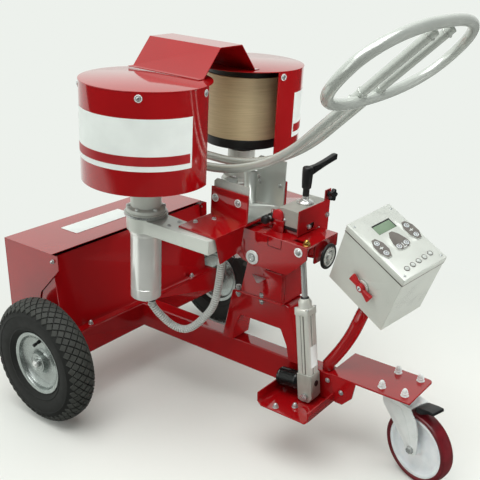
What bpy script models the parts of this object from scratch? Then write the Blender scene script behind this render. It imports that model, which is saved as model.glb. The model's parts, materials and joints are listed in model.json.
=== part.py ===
# Ball shooting machine for soccer training: two upright drums throw a ball fed down a tube guide.
# Metres, +Z up. The ball leaves towards +Y, the operator stands at -Y, X runs along the axle.
import math

import bmesh
import bpy
from mathutils import Matrix, Vector

# Driving sizes of the whole machine
GAP = 0.0003            # air left between two pieces that touch
PLAN_SHIFT = 0.4245     # moves the axle so that the plan's middle is at the origin
TYRE_RADIUS = 0.190
TYRE_WIDTH = 0.090
TRACK_HALF = 0.408      # from the middle to a tyre's middle
RIM_RADIUS = 0.0930
HUB_HALF = 0.028
AXLE_RADIUS = 0.010

# Frame: a cross beam that carries the axle ends and a long beam that runs back to the castor
CROSS_HALF = 0.354
CROSS_DEPTH_HALF = 0.027
BEAM_HALF = 0.024
BEAM_LOW = 0.157
BEAM_TOP = 0.240
BEAM_END = -0.765

# Tower on the long beam: outline in Y and Z, with an open window
TOWER_HALF = 0.040
TOWER_MIDDLE = -0.515
TOWER_TOP = 0.415
TOWER_TOP_HALF = 0.078
TOWER_SHOULDER_HALF = 0.101
TOWER_FOOT_HALF = 0.140
WINDOW_TOP = 0.332
WINDOW_TOP_HALF = 0.070
WINDOW_FOOT_HALF = 0.100

# Tilting head. Its parts are placed from the tilt bolt, which the empty "tilt_axis" marks.
TILT_BOLT = Vector((0.0, -0.513, 0.543))
REST_TILT = math.radians(3.0)
PAN_Y = 0.073           # the upright axis that the upper head pans on
FROM_TILT_BOLT = Vector((0.0, -PAN_Y, 0.0))
TILT_PLATE_TOP = 0.077
TILT_SIDE = 0.076       # outer face of the tilt box's side plates
SHEET = 0.006
PAN_PLATE_TOP = 0.094
PAN_PLATE_SHEET = 0.006
PAN_FRONT = 0.142
PAN_REAR = 0.014
EAR_REACH = 0.222

# Spring plunger on the tilt box, from the tilt bolt
PLUNGER_Y = -0.012
PLUNGER_Z = 0.104

# Drums
DRUM_X = 0.2097
DRUM_Y = 0.2728
ROLLER_RADIUS = 0.119
ROLLER_LOW = 0.222
ROLLER_TOP = 0.448
BAND_LOW = 0.250
BAND_TOP = 0.432
COVER_RADIUS = 0.1724
COVER_LOW = 0.1977
COVER_TOP = 0.4598
COVER_SHEET = 0.0025
COVER_OPEN = math.radians(70.0)     # half of the cover's opening towards the ball
MOTOR_RADIUS = 0.0435
MOTOR_LOW = -0.164
ARM_LOW = 0.048
ARM_TOP = PAN_PLATE_TOP - PAN_PLATE_SHEET - GAP
COLLAR_TOP = 0.112

# Ball guide: two rails under a wide oval hoop
RAIL_X = 0.045
RAIL_RADIUS = 0.0122
RAIL_LEVEL = 0.205
RAIL_FRONT = 0.300
RAIL_BEND_START = 0.230
RAIL_BEND_RADIUS = 0.500
RAIL_SLOPE = math.radians(45.0)
RAIL_END = -0.418
HOOP_RADIUS = 0.0140
HOOP_Y = -0.338
HOOP_Z = 0.5644
HOOP_SLOPE = math.radians(49.5)
HOOP_HALF_WIDTH = 0.281
HOOP_HALF_LENGTH = 0.130
HOOP_POWER = 2.39       # 2 is an ellipse, larger is squarer
HOOP_STEPS = 36

# Battery box across the front
BOX_HALF = 0.3326
BOX_BACK = 0.2511
BOX_TOP = 0.492
BOX_SHEET = 0.002

# Lift actuator on the long beam's left side
ACTUATOR_X = -0.056
ACTUATOR_FOOT = Vector((ACTUATOR_X, -0.700, 0.178))
PIN_Y = -0.1452         # the upper pin, from the tilt bolt
PIN_Z = 0.0577

# Castor
CASTOR_AXIS = Vector((0.040, -0.930, 0.0))
CASTOR_YAW = math.radians(-16.0)
CASTOR_RADIUS = 0.100
CASTOR_TRAIL = 0.074
CASTOR_PLATE_TOP = 0.2400

# Ribbed hose of the left motor's cable
CONDUIT_RIBS = 46

# Control box
PANEL_WIDTH = 0.1509
PANEL_LENGTH = 0.2076
PANEL_DEPTH = 0.2073
PANEL_CENTRE = Vector((0.0, -0.8965, 0.6617))
PANEL_YAW = math.radians(-10.62)
PANEL_TILT = math.radians(26.09)
PANEL_LEAN = math.radians(-12.0)     # about the face's length: the left edge stands higher
HANDLE_TURN = math.radians(13.4)     # how the isolator's handle lies in its face
PAD_HEIGHT = 0.0036
BUTTON_TRAVEL = 0.0010

COLOURS = {
    "red_paint": ((0.52, 0.012, 0.016), 0.22, 0.1),
    "grey_paint": ((0.50, 0.51, 0.52), 0.35, 0.3),
    "zinc": ((0.72, 0.73, 0.74), 0.28, 0.9),
    "steel": ((0.60, 0.60, 0.61), 0.25, 1.0),
    "polished_aluminium": ((0.80, 0.80, 0.81), 0.18, 1.0),
    "cast_aluminium": ((0.62, 0.63, 0.64), 0.42, 0.9),
    "tyre_rubber": ((0.018, 0.018, 0.018), 0.75, 0.0),
    "black_plastic": ((0.015, 0.015, 0.016), 0.40, 0.0),
    "tan_urethane": ((0.46, 0.37, 0.23), 0.60, 0.0),
    "maroon_urethane": ((0.18, 0.015, 0.022), 0.40, 0.0),
    "white_nylon": ((0.78, 0.80, 0.81), 0.40, 0.0),
    "red_plastic": ((0.60, 0.015, 0.012), 0.35, 0.0),
    "grey_conduit": ((0.55, 0.56, 0.56), 0.50, 0.0),
    "battery_case": ((0.03, 0.03, 0.035), 0.50, 0.0),
}


# Scene and materials
def clear_scene():
    for item in list(bpy.data.objects):
        bpy.data.objects.remove(item, do_unlink=True)


def make_material(name):
    colour, roughness, metallic = COLOURS[name]
    material = bpy.data.materials.get(name) or bpy.data.materials.new(name)
    material.use_nodes = True
    shader = material.node_tree.nodes["Principled BSDF"]
    shader.inputs["Base Color"].default_value = (*colour, 1.0)
    shader.inputs["Roughness"].default_value = roughness
    shader.inputs["Metallic"].default_value = metallic
    return material


def make_empty(name, location, rotation=(0.0, 0.0, 0.0), parent=None):
    empty = bpy.data.objects.new(name, None)
    bpy.context.collection.objects.link(empty)
    empty.parent = parent
    empty.location = location
    empty.rotation_euler = rotation
    return empty


# Shapes. Each of these returns a new bmesh that holds one closed solid.
AXES = {
    "X": Matrix(((0, 0, 1, 0), (1, 0, 0, 0), (0, 1, 0, 0), (0, 0, 0, 1))),
    "Y": Matrix(((0, 1, 0, 0), (0, 0, 1, 0), (1, 0, 0, 0), (0, 0, 0, 1))),
    "Z": Matrix.Identity(4),
}


def bevel_sharp(bm, width, segments=1, angle=50.0):
    sharp = [edge for edge in bm.edges if edge.calc_face_angle(0.0) > math.radians(angle)]
    bmesh.ops.bevel(bm, geom=sharp, offset=width, affect="EDGES", segments=segments, profile=0.5, material=-1)


def box(low, high, bevel=0.0, segments=1):
    low, high = Vector(low), Vector(high)
    placing = Matrix.Translation((low + high) / 2) @ Matrix.Diagonal((*(high - low), 1.0))
    bm = bmesh.new()
    bmesh.ops.create_cube(bm, size=1.0, matrix=placing)
    if bevel:
        bevel_sharp(bm, bevel, segments)
    return bm


def along(axis, height, a=0.0, b=0.0):
    """A point at a height on one axis, with the other two axes in X, Y, Z order."""
    return {"X": (height, a, b), "Y": (a, height, b), "Z": (a, b, height)}[axis]


def prism(outline, axis, low, high, bevel=0.0, segments=1):
    """Extrudes an outline, given in the two other axes, from low to high on one axis."""
    bm = bmesh.new()
    face = bm.faces.new([bm.verts.new(along(axis, low, a, b)) for a, b in outline])
    grown = bmesh.ops.extrude_face_region(bm, geom=[face])["geom"]
    moved = [item for item in grown if isinstance(item, bmesh.types.BMVert)]
    bmesh.ops.translate(bm, verts=moved, vec=along(axis, high - low))
    bmesh.ops.recalc_face_normals(bm, faces=bm.faces)
    if bevel:
        bevel_sharp(bm, bevel, segments)
    return bm


def lathe(profile, sides, axis="Z", centre=(0.0, 0.0, 0.0), turn=math.tau, start=0.0):
    """Revolves a closed outline of (radius, height) points about an axis through centre."""
    bm = bmesh.new()
    placing = Matrix.Translation(centre) @ AXES[axis] @ Matrix.Rotation(start, 4, "Z")
    ring = [bm.verts.new(placing @ Vector((radius, 0.0, height))) for radius, height in profile]
    geom = ring + [bm.edges.new((a, b)) for a, b in zip(ring, ring[1:] + ring[:1])]
    whole = abs(turn - math.tau) < 1e-6
    if not whole:
        geom.append(bm.faces.new(ring))
    bmesh.ops.spin(bm, geom=geom, cent=centre, axis=placing.to_3x3() @ Vector((0.0, 0.0, 1.0)),
                   angle=turn, steps=sides, use_merge=whole, use_duplicate=False)
    bmesh.ops.remove_doubles(bm, verts=bm.verts, dist=1e-6)
    return bm


def cylinder(radius, low, high, axis="Z", centre=(0.0, 0.0, 0.0), sides=24, bevel=0.0, segments=1):
    placing = Matrix.Translation(centre) @ AXES[axis] @ Matrix.Translation((0.0, 0.0, (low + high) / 2))
    bm = bmesh.new()
    bmesh.ops.create_cone(bm, cap_ends=True, segments=sides, radius1=radius, radius2=radius,
                          depth=high - low, matrix=placing)
    if bevel:
        bevel_sharp(bm, bevel, segments, 60.0)
    return bm


def mirrored(profile):
    """The outline of (radius, height) points followed by its mirror image at the opposite heights."""
    return profile + [(radius, -height) for radius, height in reversed(profile)]


def both(side, low, high):
    """The range low to high on the right, or its mirror image on the left."""
    return sorted((side * low, side * high))


def tube(path, radius, resolution=4, cyclic=False, radii=None):
    """A round bar along a list of points, with flat ends."""
    curve = bpy.data.curves.new("tube", "CURVE")
    curve.dimensions = "3D"
    curve.bevel_depth = radius
    curve.bevel_resolution = resolution
    curve.use_fill_caps = True
    spline = curve.splines.new("POLY")
    spline.points.add(len(path) - 1)
    for index, point in enumerate(path):
        spline.points[index].co = (*point, 1.0)
        spline.points[index].radius = radii[index] if radii else 1.0
    spline.use_cyclic_u = cyclic
    holder = bpy.data.objects.new("tube", curve)
    mesh = bpy.data.meshes.new_from_object(holder)
    bm = bmesh.new()
    bm.from_mesh(mesh)
    bmesh.ops.remove_doubles(bm, verts=bm.verts, dist=1e-7)
    bpy.data.objects.remove(holder)
    bpy.data.curves.remove(curve)
    bpy.data.meshes.remove(mesh)
    return bm


# Objects
def add_object(name, bm, material, parent, location, rotation, smooth):
    bmesh.ops.recalc_face_normals(bm, faces=bm.faces)
    mesh = bpy.data.meshes.new(name)
    bm.to_mesh(mesh)
    bm.free()
    mesh.materials.append(make_material(material))
    if smooth:
        mesh.polygons.foreach_set("use_smooth", [True] * len(mesh.polygons))
        mesh.set_sharp_from_angle(angle=math.radians(smooth))
    item = bpy.data.objects.new(name, mesh)
    bpy.context.collection.objects.link(item)
    item.parent = parent
    item.location = location
    item.rotation_euler = rotation
    return item


def place(name, shapes, material, parent, location=(0.0, 0.0, 0.0), rotation=(0.0, 0.0, 0.0), smooth=0.0,
          holes=()):
    """Makes one named piece: the shapes welded into one body, less the holes.

    smooth is the edge angle, in degrees, under which the surface is shaded round.
    """
    pose = (material, parent, location, rotation, smooth)
    item = add_object(name, shapes[0], *pose)
    steps = [("UNION", "weld", shape) for shape in shapes[1:]] + [("DIFFERENCE", "hole", hole) for hole in holes]
    for number, (operation, label, shape) in enumerate(steps, 1):
        other = add_object(f"{name}_{label}_{number}", shape, *pose)
        other.hide_render = True
        other.display_type = "WIRE"
        modifier = item.modifiers.new(f"{label} {number}", "BOOLEAN")
        modifier.operation = operation
        modifier.solver = "EXACT"
        modifier.object = other
    return item


# Outlines and routes
def arc(centre, radius, start, end, steps):
    """Points (a, b) on an arc, angles in radians."""
    turn = (end - start) / steps
    return [(centre[0] + radius * math.cos(start + turn * i), centre[1] + radius * math.sin(start + turn * i))
            for i in range(steps + 1)]


def smooth_path(points, steps):
    """Points of a Catmull-Rom curve through a short list of points."""
    points = [Vector(point) for point in points]
    padded = [points[0] * 2 - points[1]] + points + [points[-1] * 2 - points[-2]]
    path = []
    for a, b, c, d in zip(padded, padded[1:], padded[2:], padded[3:]):
        for i in range(steps):
            t = i / steps
            path.append(0.5 * (2 * b + (c - a) * t + (2 * a - 5 * b + 4 * c - d) * t ** 2
                               + (3 * b - a - 3 * c + d) * t ** 3))
    return path + [points[-1]]


def even_path(points, steps, beyond=0.0):
    """The same path with equally spaced points. beyond lengthens both of its ends."""
    points = [Vector(point) for point in points]
    if beyond:
        points[0] += (points[0] - points[1]).normalized() * beyond
        points[-1] += (points[-1] - points[-2]).normalized() * beyond
    lengths = [0.0]
    for a, b in zip(points, points[1:]):
        lengths.append(lengths[-1] + (b - a).length)
    path = []
    index = 0
    for i in range(steps + 1):
        target = lengths[-1] * i / steps
        while index < len(points) - 2 and lengths[index + 1] < target:
            index += 1
        share = (target - lengths[index]) / max(lengths[index + 1] - lengths[index], 1e-9)
        path.append(points[index].lerp(points[index + 1], min(share, 1.0)))
    return path


# Frame
def make_base_frame(machine):
    """The cross beam and the long beam, welded to a T, with the axle's bore through the cross beam."""
    cross = box((-CROSS_HALF, -CROSS_DEPTH_HALF, BEAM_LOW), (CROSS_HALF, CROSS_DEPTH_HALF, BEAM_TOP), 0.004, 2)
    long = box((-BEAM_HALF, BEAM_END, BEAM_LOW + 0.0005), (BEAM_HALF, 0.0, BEAM_TOP - 0.0005), 0.004, 2)
    bore = cylinder(AXLE_RADIUS + GAP, -0.4, 0.4, "X", (0, 0, TYRE_RADIUS), 24)
    place("base_frame", [cross, long], "red_paint", machine, smooth=40, holes=[bore])


def make_axle(machine):
    """One axle through the cross beam, with a spacer inside and a round nut outside each hub."""
    nut, hub = TRACK_HALF + HUB_HALF + 2 * GAP, TRACK_HALF - HUB_HALF - 2 * GAP
    half = [(0.0, nut + 0.0104), (0.0060, nut + 0.0098), (0.0112, nut + 0.0070), (0.0118, nut),
            (AXLE_RADIUS, nut), (AXLE_RADIUS, hub), (0.0145, hub), (0.0145, CROSS_HALF + GAP),
            (AXLE_RADIUS, CROSS_HALF + GAP)]
    place("axle", [lathe(mirrored(half), 16, "X", (0, 0, TYRE_RADIUS))], "zinc", machine, smooth=35)


def make_tower(machine):
    outside = [(TOWER_FOOT_HALF, BEAM_TOP + GAP), (TOWER_SHOULDER_HALF, TOWER_TOP - 0.010),
               (TOWER_TOP_HALF, TOWER_TOP)]
    inside = [(WINDOW_FOOT_HALF, BEAM_TOP + GAP), (WINDOW_FOOT_HALF - 0.008, BEAM_TOP + 0.045),
              (WINDOW_TOP_HALF, WINDOW_TOP)]
    outline = outside + [(-y, z) for y, z in reversed(outside)]
    outline += [(-y, z) for y, z in inside] + [(y, z) for y, z in reversed(inside)]
    place("tower", [prism(outline, "X", -TOWER_HALF, TOWER_HALF, 0.003)], "red_paint", machine,
          (0.0, TOWER_MIDDLE, 0.0), smooth=35)


def make_tilt_yoke(machine):
    """Two ears that hold the tilt bolt, on a foot bolted to the tower, with a closed box behind."""
    low = TOWER_TOP + GAP
    foot_top, bolt_y, bolt_z = low + SHEET, TILT_BOLT.y, TILT_BOLT.z
    ear = [(bolt_y - 0.055, foot_top - 0.003), (bolt_y + 0.055, foot_top - 0.003)]
    ear += arc((bolt_y, bolt_z), 0.024, math.radians(20), math.radians(160), 7)
    shapes = [box((-0.062, -0.600, low), (0.062, -0.440, foot_top), 0.001)]
    shapes += [prism(ear, "X", *both(side, 0.050, 0.058), 0.0008) for side in (-1, 1)]
    shapes.append(box((-0.040, -0.599, foot_top - 0.003), (0.040, -0.535, 0.508), 0.002))
    bore = cylinder(0.0092, -0.08, 0.08, "X", TILT_BOLT, 24)
    place("tilt_yoke", shapes, "red_paint", machine, smooth=35, holes=[bore])


def make_actuator_mount(machine):
    """A folded shelf that reaches under the beam, and the pin that the lift actuator turns on."""
    inner, outer, sheet, fold = -0.0315, -0.160, 0.004, 0.012
    front, back, low, wall_top = -0.765, -0.598, BEAM_LOW - GAP - sheet, 0.192
    turn = fold + 0.002
    outline = [(front, wall_top), (front, low + fold), (front + fold, low), (back - fold, low),
               (back, low + fold), (back, wall_top), (back - sheet, wall_top), (back - sheet, low + turn),
               (back - turn, low + sheet), (front + turn, low + sheet), (front + sheet, low + turn),
               (front + sheet, wall_top)]
    tongue = box((inner - 0.004, front + 0.030, low + 0.0004), (0.020, back - 0.030, low + sheet - 0.0004))
    place("actuator_tray", [prism(outline, "X", outer, inner, 0.0008), tongue], "red_paint", machine, smooth=35)
    foot, side = ACTUATOR_FOOT, -BEAM_HALF - GAP
    pin = [(0.0, side), (0.016, side), (0.016, -0.0330), (0.0058, -0.0330), (0.0058, -0.0795), (0.0100, -0.0795),
           (0.0100, -0.0855), (0.0, -0.0870)]
    place("actuator_foot_pin", [lathe(pin, 16, "X", (0, foot.y, foot.z))], "zinc", machine, smooth=35)


def make_castor_bracket(machine):
    """A bent plate: flat on top, with a tapered flange down the long beam's left side."""
    left, right, near, far = -0.0308, 0.112, -0.745, -0.985
    low, top, corner = BEAM_TOP + GAP, BEAM_TOP + GAP + SHEET, 0.012
    outline = [(left, near), (left, far)] + arc((right - corner, far + corner), corner, -math.pi / 2, 0.0, 3)
    outline.append((right, near))
    flange = [(-0.748, top - 0.002), (-0.828, top - 0.002), (-0.818, 0.192), (-0.790, 0.163), (-0.768, 0.163)]
    shapes = [prism(outline, "Z", low, top, 0.001), prism(flange, "X", left + 0.0005, left + SHEET, 0.0008)]
    place("castor_bracket", shapes, "red_paint", machine, smooth=35)


def make_control_post(machine):
    """A bent tube from the long beam up to a round plate under the control box."""
    foot = Vector((0.0, -0.725, BEAM_TOP + GAP))
    turn = panel_matrix()
    sheet = 0.005
    top = PANEL_CENTRE - turn @ Vector((0.0, 0.0, PANEL_DEPTH + 2 * GAP + sheet))
    below, inside = (top + turn @ Vector((0.0, 0.0, height)) for height in (-0.020, 0.002))
    bend = [(0.0, -0.725, 0.256), (0.0, -0.746, 0.287), (0.0, -0.772, 0.330), (0.002, -0.796, 0.380),
            (0.010, -0.812, 0.430), below]
    path = [foot] + smooth_path(bend, 2) + [inside]
    plate = cylinder(0.028, GAP, GAP + sheet, sides=24)
    bmesh.ops.transform(plate, matrix=Matrix.Translation(top) @ turn.to_4x4(), verts=plate.verts)
    place("control_post", [tube(path, 0.0175, 3), plate], "red_paint", machine, smooth=40)


# Battery box
def make_battery_tray(machine):
    """An open tray behind the cross beam: front panel with a foot flange, floor, ends and low rear wall."""
    low, high, sheet = BEAM_TOP + GAP, BOX_TOP - 0.010, BOX_SHEET
    inner, lowered = BOX_HALF - 0.004, 0.150
    foot_front, fold_y, top_y, rear = -0.026, 0.006, 0.030, BOX_BACK - 0.006
    section = [(foot_front, low), (rear, low), (rear, high - lowered), (rear - sheet, high - lowered),
               (rear - sheet, low + sheet), (fold_y + sheet, low + sheet), (top_y + sheet, high),
               (top_y, high), (fold_y, low + sheet), (foot_front, low + sheet)]
    half = sheet / 2
    end = [(fold_y + half, low + half), (rear - half, low + half), (rear - half, high - lowered - half),
           (rear - 0.090, high - 0.030), (rear - 0.090, high - half), (top_y + half, high - half)]
    shapes = [prism(section, "X", -inner, inner)]
    shapes += [prism(end, "X", *both(side, inner - sheet, inner - GAP)) for side in (-1, 1)]
    place("battery_tray", shapes, "red_paint", machine)


def make_battery_lid(machine, hinge):
    """A hood that turns about two bolts: top, rear wall and two ends with a cut front corner."""
    sheet, half = BOX_SHEET, BOX_SHEET / 2
    rear, low, top, lip = BOX_BACK - hinge.y, BEAM_TOP + 0.004 - hinge.z, BOX_TOP + 0.002 - hinge.z, 0.005
    section = [(lip, top), (rear, top), (rear, low), (rear - sheet, low), (rear - sheet, top - sheet),
               (lip, top - sheet)]
    end = [(-0.021, top - half), (-0.021, -0.025), (0.071, -0.117), (0.089, -0.173), (0.089, low + half),
           (rear - half, low + half), (rear - half, top - half)]
    shapes = [prism(section, "X", -BOX_HALF, BOX_HALF)]
    shapes += [prism(end, "X", *both(side, BOX_HALF - sheet, BOX_HALF - GAP)) for side in (-1, 1)]
    bore = cylinder(0.0046, -0.4, 0.4, "X", sides=20)
    place("battery_lid", shapes, "red_paint", machine, hinge, holes=[bore])


def make_battery_pack(machine):
    """Two batteries strapped together in the tray, with four poles."""
    low = BEAM_TOP + 2 * GAP + BOX_SHEET
    front, rear, half, top = 0.055, 0.225, 0.180, low + 0.170
    shapes = [box((-half, front, low), (half, rear, top), 0.004)]
    shapes += [cylinder(0.009, top - 0.003, top + 0.014, "Z", (x, front + 0.030, 0), 12)
               for x in (-0.150, -0.030, 0.030, 0.150)]
    split = box((-0.0015, front - 0.02, low + 0.020), (0.0015, rear + 0.02, top + 0.02))
    place("battery_pack", shapes, "battery_case", machine, smooth=35, holes=[split])


# Road wheels
def make_road_wheel(machine, side, name):
    """A tyre on a dished rim. The rim has a hub tube that turns on the axle end, and a valve."""
    centre = (side * TRACK_HALF, 0.0, TYRE_RADIUS)
    bead, wide = RIM_RADIUS + 2 * GAP, TYRE_WIDTH / 2
    half = [(bead, -0.0270), (0.0985, -0.0272), (0.110, -wide + 0.006), (0.143, -wide),
            (0.168, -wide + 0.006), (0.184, -wide + 0.022),
            (TYRE_RADIUS, 0.0)]
    tyre = half + [(radius, -height) for radius, height in reversed(half[:-1])]
    place("tyre_" + name, [lathe(tyre, 24, "X")], "tyre_rubber", machine, centre, smooth=50)
    bore, hub = AXLE_RADIUS + 0.0004, 0.024
    half = [(RIM_RADIUS, -0.0274), (RIM_RADIUS + 0.0035, -0.0278), (RIM_RADIUS + 0.0035, -0.0300), (0.0905, -0.0288),
            (0.0885, -0.0180), (0.062, -0.0060), (hub, -0.0090), (hub, -HUB_HALF),
            (bore, -HUB_HALF)]
    rim = lathe(mirrored(half), 24, "X")
    valve = cylinder(0.0035, *both(side, 0.0100, 0.0330), "X", (0.0, 0.051, -0.051), 8)
    place("rim_" + name, [rim, valve], "zinc", machine, centre, smooth=35)


# Castor
def make_castor(machine):
    """Fixed top plate, swivelling fork with a round head, wheel with a moulded core, and brake pedal."""
    top, axis, sheet = CASTOR_PLATE_TOP, CASTOR_AXIS, 0.005
    plate = box((-0.060, -0.048, top - sheet), (0.060, 0.048, top), 0.0015)
    place("castor_plate", [plate], "zinc", machine, axis, smooth=35)

    turn = (0.0, 0.0, CASTOR_YAW)
    yaw = Matrix.Rotation(CASTOR_YAW, 3, "Z")
    head_top, fork_low, fork_half, trail = top - sheet - GAP, CASTOR_RADIUS, 0.030, -CASTOR_TRAIL
    head_low = head_top - 0.018
    head = [(0.0, head_top), (0.036, head_top), (0.041, head_top - 0.010), (0.036, head_low), (0.0, head_low)]
    crown = head_low - 0.0035
    side_plate = [(0.034, crown + 0.002), (0.034, crown - 0.018), (trail + 0.013, fork_low + 0.004)]
    side_plate += arc((trail, fork_low), 0.016, math.radians(-10), math.radians(-170), 6)
    side_plate += [(trail - 0.018, crown - 0.056), (-0.060, crown + 0.002)]
    shapes = [lathe(head, 24), box((-fork_half - 0.0035, -0.062, crown), (fork_half + 0.0035, 0.036, head_low + 0.0005),
                                   0.001)]
    for side in (-1, 1):
        shapes.append(prism(side_plate, "X", *both(side, fork_half, fork_half + 0.004)))
        shapes.append(cylinder(0.011, *both(side, fork_half + 0.002, fork_half + 0.011), "X", (0, trail, fork_low), 6))
    shapes.append(cylinder(0.006, -fork_half - 0.002, fork_half + 0.002, "X", (0, trail, fork_low), 16))
    place("castor_fork", shapes, "zinc", machine, axis, turn, smooth=35)

    hub_place = axis + yaw @ Vector((0.0, trail, fork_low))
    core = [(0.0066, -0.027), (0.019, -0.027), (0.021, -0.012), (0.070, -0.006), (0.078, -0.017), (0.0855, -0.0175)]
    place("castor_core", [lathe(mirrored(core), 24, "X")], "white_nylon", machine, hub_place, turn, smooth=35)
    radius = CASTOR_RADIUS
    half = [(0.0858, -0.0175), (radius - 0.005, -0.0205), (radius - 0.0012, -0.014), (radius, 0.0)]
    tread = half + [(r, -height) for r, height in reversed(half[:-1])]
    place("castor_tread", [lathe(tread, 24, "X")], "maroon_urethane", machine, hub_place, turn, smooth=50)

    pedal_place = axis + yaw @ Vector((0.0, -0.074, crown + 0.002))
    pedal = [(0.004, -0.007), (0.008, 0.004), (-0.004, 0.010), (-0.034, 0.016), (-0.050, 0.017),
             (-0.052, 0.009), (-0.034, 0.005), (-0.010, -0.008)]
    place("brake_pedal", [prism(pedal, "X", -0.021, 0.021, 0.0015)], "black_plastic", machine, pedal_place, turn,
          smooth=35)


# Lift actuator
def tilt_point(x, y, z):
    """A point given from the tilt bolt, in the machine's coordinates at rest."""
    return TILT_BOLT + Matrix.Rotation(REST_TILT, 3, "X") @ Vector((x, y, z))


def make_actuator(machine):
    """Gear housing that turns on the foot pin, motor, extruded tube with its cap, and the chromed rod."""
    pin = tilt_point(ACTUATOR_X, PIN_Y, PIN_Z)
    length = (pin - ACTUATOR_FOOT).length
    turn = (-math.atan2(pin.y - ACTUATOR_FOOT.y, pin.z - ACTUATOR_FOOT.z), 0.0, 0.0)
    foot, half, housing_top = ACTUATOR_FOOT, 0.0235, 0.066
    housing = [(half, -0.014), (half, housing_top), (-half, housing_top), (-half, -0.002), (-0.012, -0.018),
               (0.012, -0.018)]
    place("actuator_body", [prism(housing, "X", 0.001 - half, half - 0.001, 0.002)], "cast_aluminium", machine, foot,
          turn, smooth=35, holes=[cylinder(0.0066, -0.06, 0.06, "X", sides=20)])

    tube_low, tube_top, cap_top = housing_top + GAP, 0.244, 0.284
    rib, groove = 0.0210, 0.0185
    section = []
    for quarter in range(4):
        rotate = Matrix.Rotation(quarter * math.pi / 2, 2)
        corners = ((rib, 0.004 - rib), (rib, -0.008), (groove, -0.006), (groove, 0.006), (rib, 0.008),
                   (rib, rib - 0.004))
        section += [tuple(rotate @ Vector(corner)) for corner in corners]
    collar = [(0.0, tube_top + 0.010), (0.018, tube_top + 0.010), (0.018, cap_top - 0.010), (0.0125, cap_top),
              (0.0, cap_top)]
    shapes = [prism(section, "Z", tube_low, tube_top), box((-0.0225, -0.0225, tube_top - 0.006),
                                                           (0.0225, 0.0225, tube_top + 0.014), 0.004),
              lathe(collar, 24)]
    place("actuator_tube", shapes, "cast_aluminium", machine, foot, turn, smooth=20,
          holes=[cylinder(0.0086, 0.086, 0.40, sides=20)])

    neck = length - 0.012
    eye = [(-0.0085, neck - 0.002), (0.0085, neck - 0.002)]
    eye += arc((0.0, length), 0.0125, math.radians(-35), math.radians(215), 12)
    place("actuator_rod", [cylinder(0.0080, 0.140, neck, sides=20), prism(eye, "X", -0.0095, 0.0095, 0.0008)], "steel",
          machine, foot, turn, smooth=35, holes=[cylinder(0.0070, -0.03, 0.03, "X", (0, 0, length), 20)])

    front = half + GAP
    motor = [(0.0, front), (0.0200, front), (0.0265, front + 0.010), (0.0265, 0.090), (0.0240, 0.094), (0.0, 0.094)]
    place("actuator_motor", [lathe(motor, 20, "Y", (0, 0, 0.030))], "black_plastic", machine, foot, turn, smooth=35)


# Tilting head
def make_tilt_box(head):
    """A folded box open below: top plate, side plates, rear plate, and a lug for the actuator's pin."""
    top, sheet, side = TILT_PLATE_TOP, SHEET, TILT_SIDE
    rear, front = -0.170, 0.128
    outline = [(front, top - 0.001), (front, 0.030), (0.030, -0.018)]
    outline += arc((0.0, 0.0), 0.026, math.radians(-50), math.radians(-130), 4)
    outline += [(-0.090, -0.020), (-0.116, -0.016), (rear + 0.008, 0.032), (rear, 0.042), (rear, top - 0.001)]
    lug = [(-0.167, 0.046), (-0.167, top - 0.003), (-0.122, top - 0.003), (-0.122, 0.046), (-0.134, 0.044),
           (-0.156, 0.044)]
    shapes = [box((0.0005 - side, rear + 0.0005, top - sheet), (side - 0.0005, front - 0.0005, top))]
    shapes += [prism(outline, "X", *both(hand, side - sheet, side)) for hand in (-1, 1)]
    shapes.append(box((-0.030, rear + 0.0008, 0.018), (side - 0.003, rear + sheet, top - 0.002)))
    shapes.append(prism(lug, "X", -0.041, -0.0355))
    shapes.append(box((-0.026, -0.104, top - 0.002), (0.072, -0.049, 0.0885), 0.001))
    shapes.append(box((0.000, PLUNGER_Y - 0.019, top - 0.002), (0.005, PLUNGER_Y + 0.013, PLUNGER_Z + 0.016), 0.0008))
    holes = [cylinder(0.0092, -0.1, 0.1, "X", sides=24),
             cylinder(0.0048, -0.1, -0.02, "X", (0, PIN_Y, PIN_Z), 20),
             box((-0.058, -0.150, 0.060), (-0.0415, -0.112, 0.090)),
             cylinder(0.0056, -0.02, 0.02, "X", (0, PLUNGER_Y, PLUNGER_Z), 20)]
    place("tilt_box", shapes, "red_paint", head, smooth=35, holes=holes)


def make_tilt_pins(head):
    """The tilt bolt with its two washers, the actuator's upper pin, and the ring the head pans on."""
    face = TILT_SIDE + GAP
    half = [(0.0, face + 0.0072), (0.0100, face + 0.0072), (0.0104, face + 0.0055), (0.0165, face + 0.0052),
            (0.0200, face + 0.0030), (0.0200, face), (0.0086, face)]
    place("tilt_bolt", [lathe(mirrored(half), 16, "X")], "zinc", head, smooth=35)
    pin = [(0.0, -face - 0.0042), (0.0055, -face - 0.0038), (0.0084, -face - 0.0020), (0.0086, -face),
           (0.0044, -face), (0.0044, -0.0340), (0.0, -0.0330)]
    place("actuator_pin", [lathe(pin, 16, "X", (0, PIN_Y, PIN_Z))], "zinc", head, smooth=35)
    low, top = TILT_PLATE_TOP + GAP, PAN_PLATE_TOP - PAN_PLATE_SHEET - GAP
    ring = [(0.020, low), (0.052, low), (0.052, top), (0.020, top)]
    place("pan_bearing", [lathe(ring, 24)], "steel", head, (0, PAN_Y, 0), smooth=35)


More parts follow.
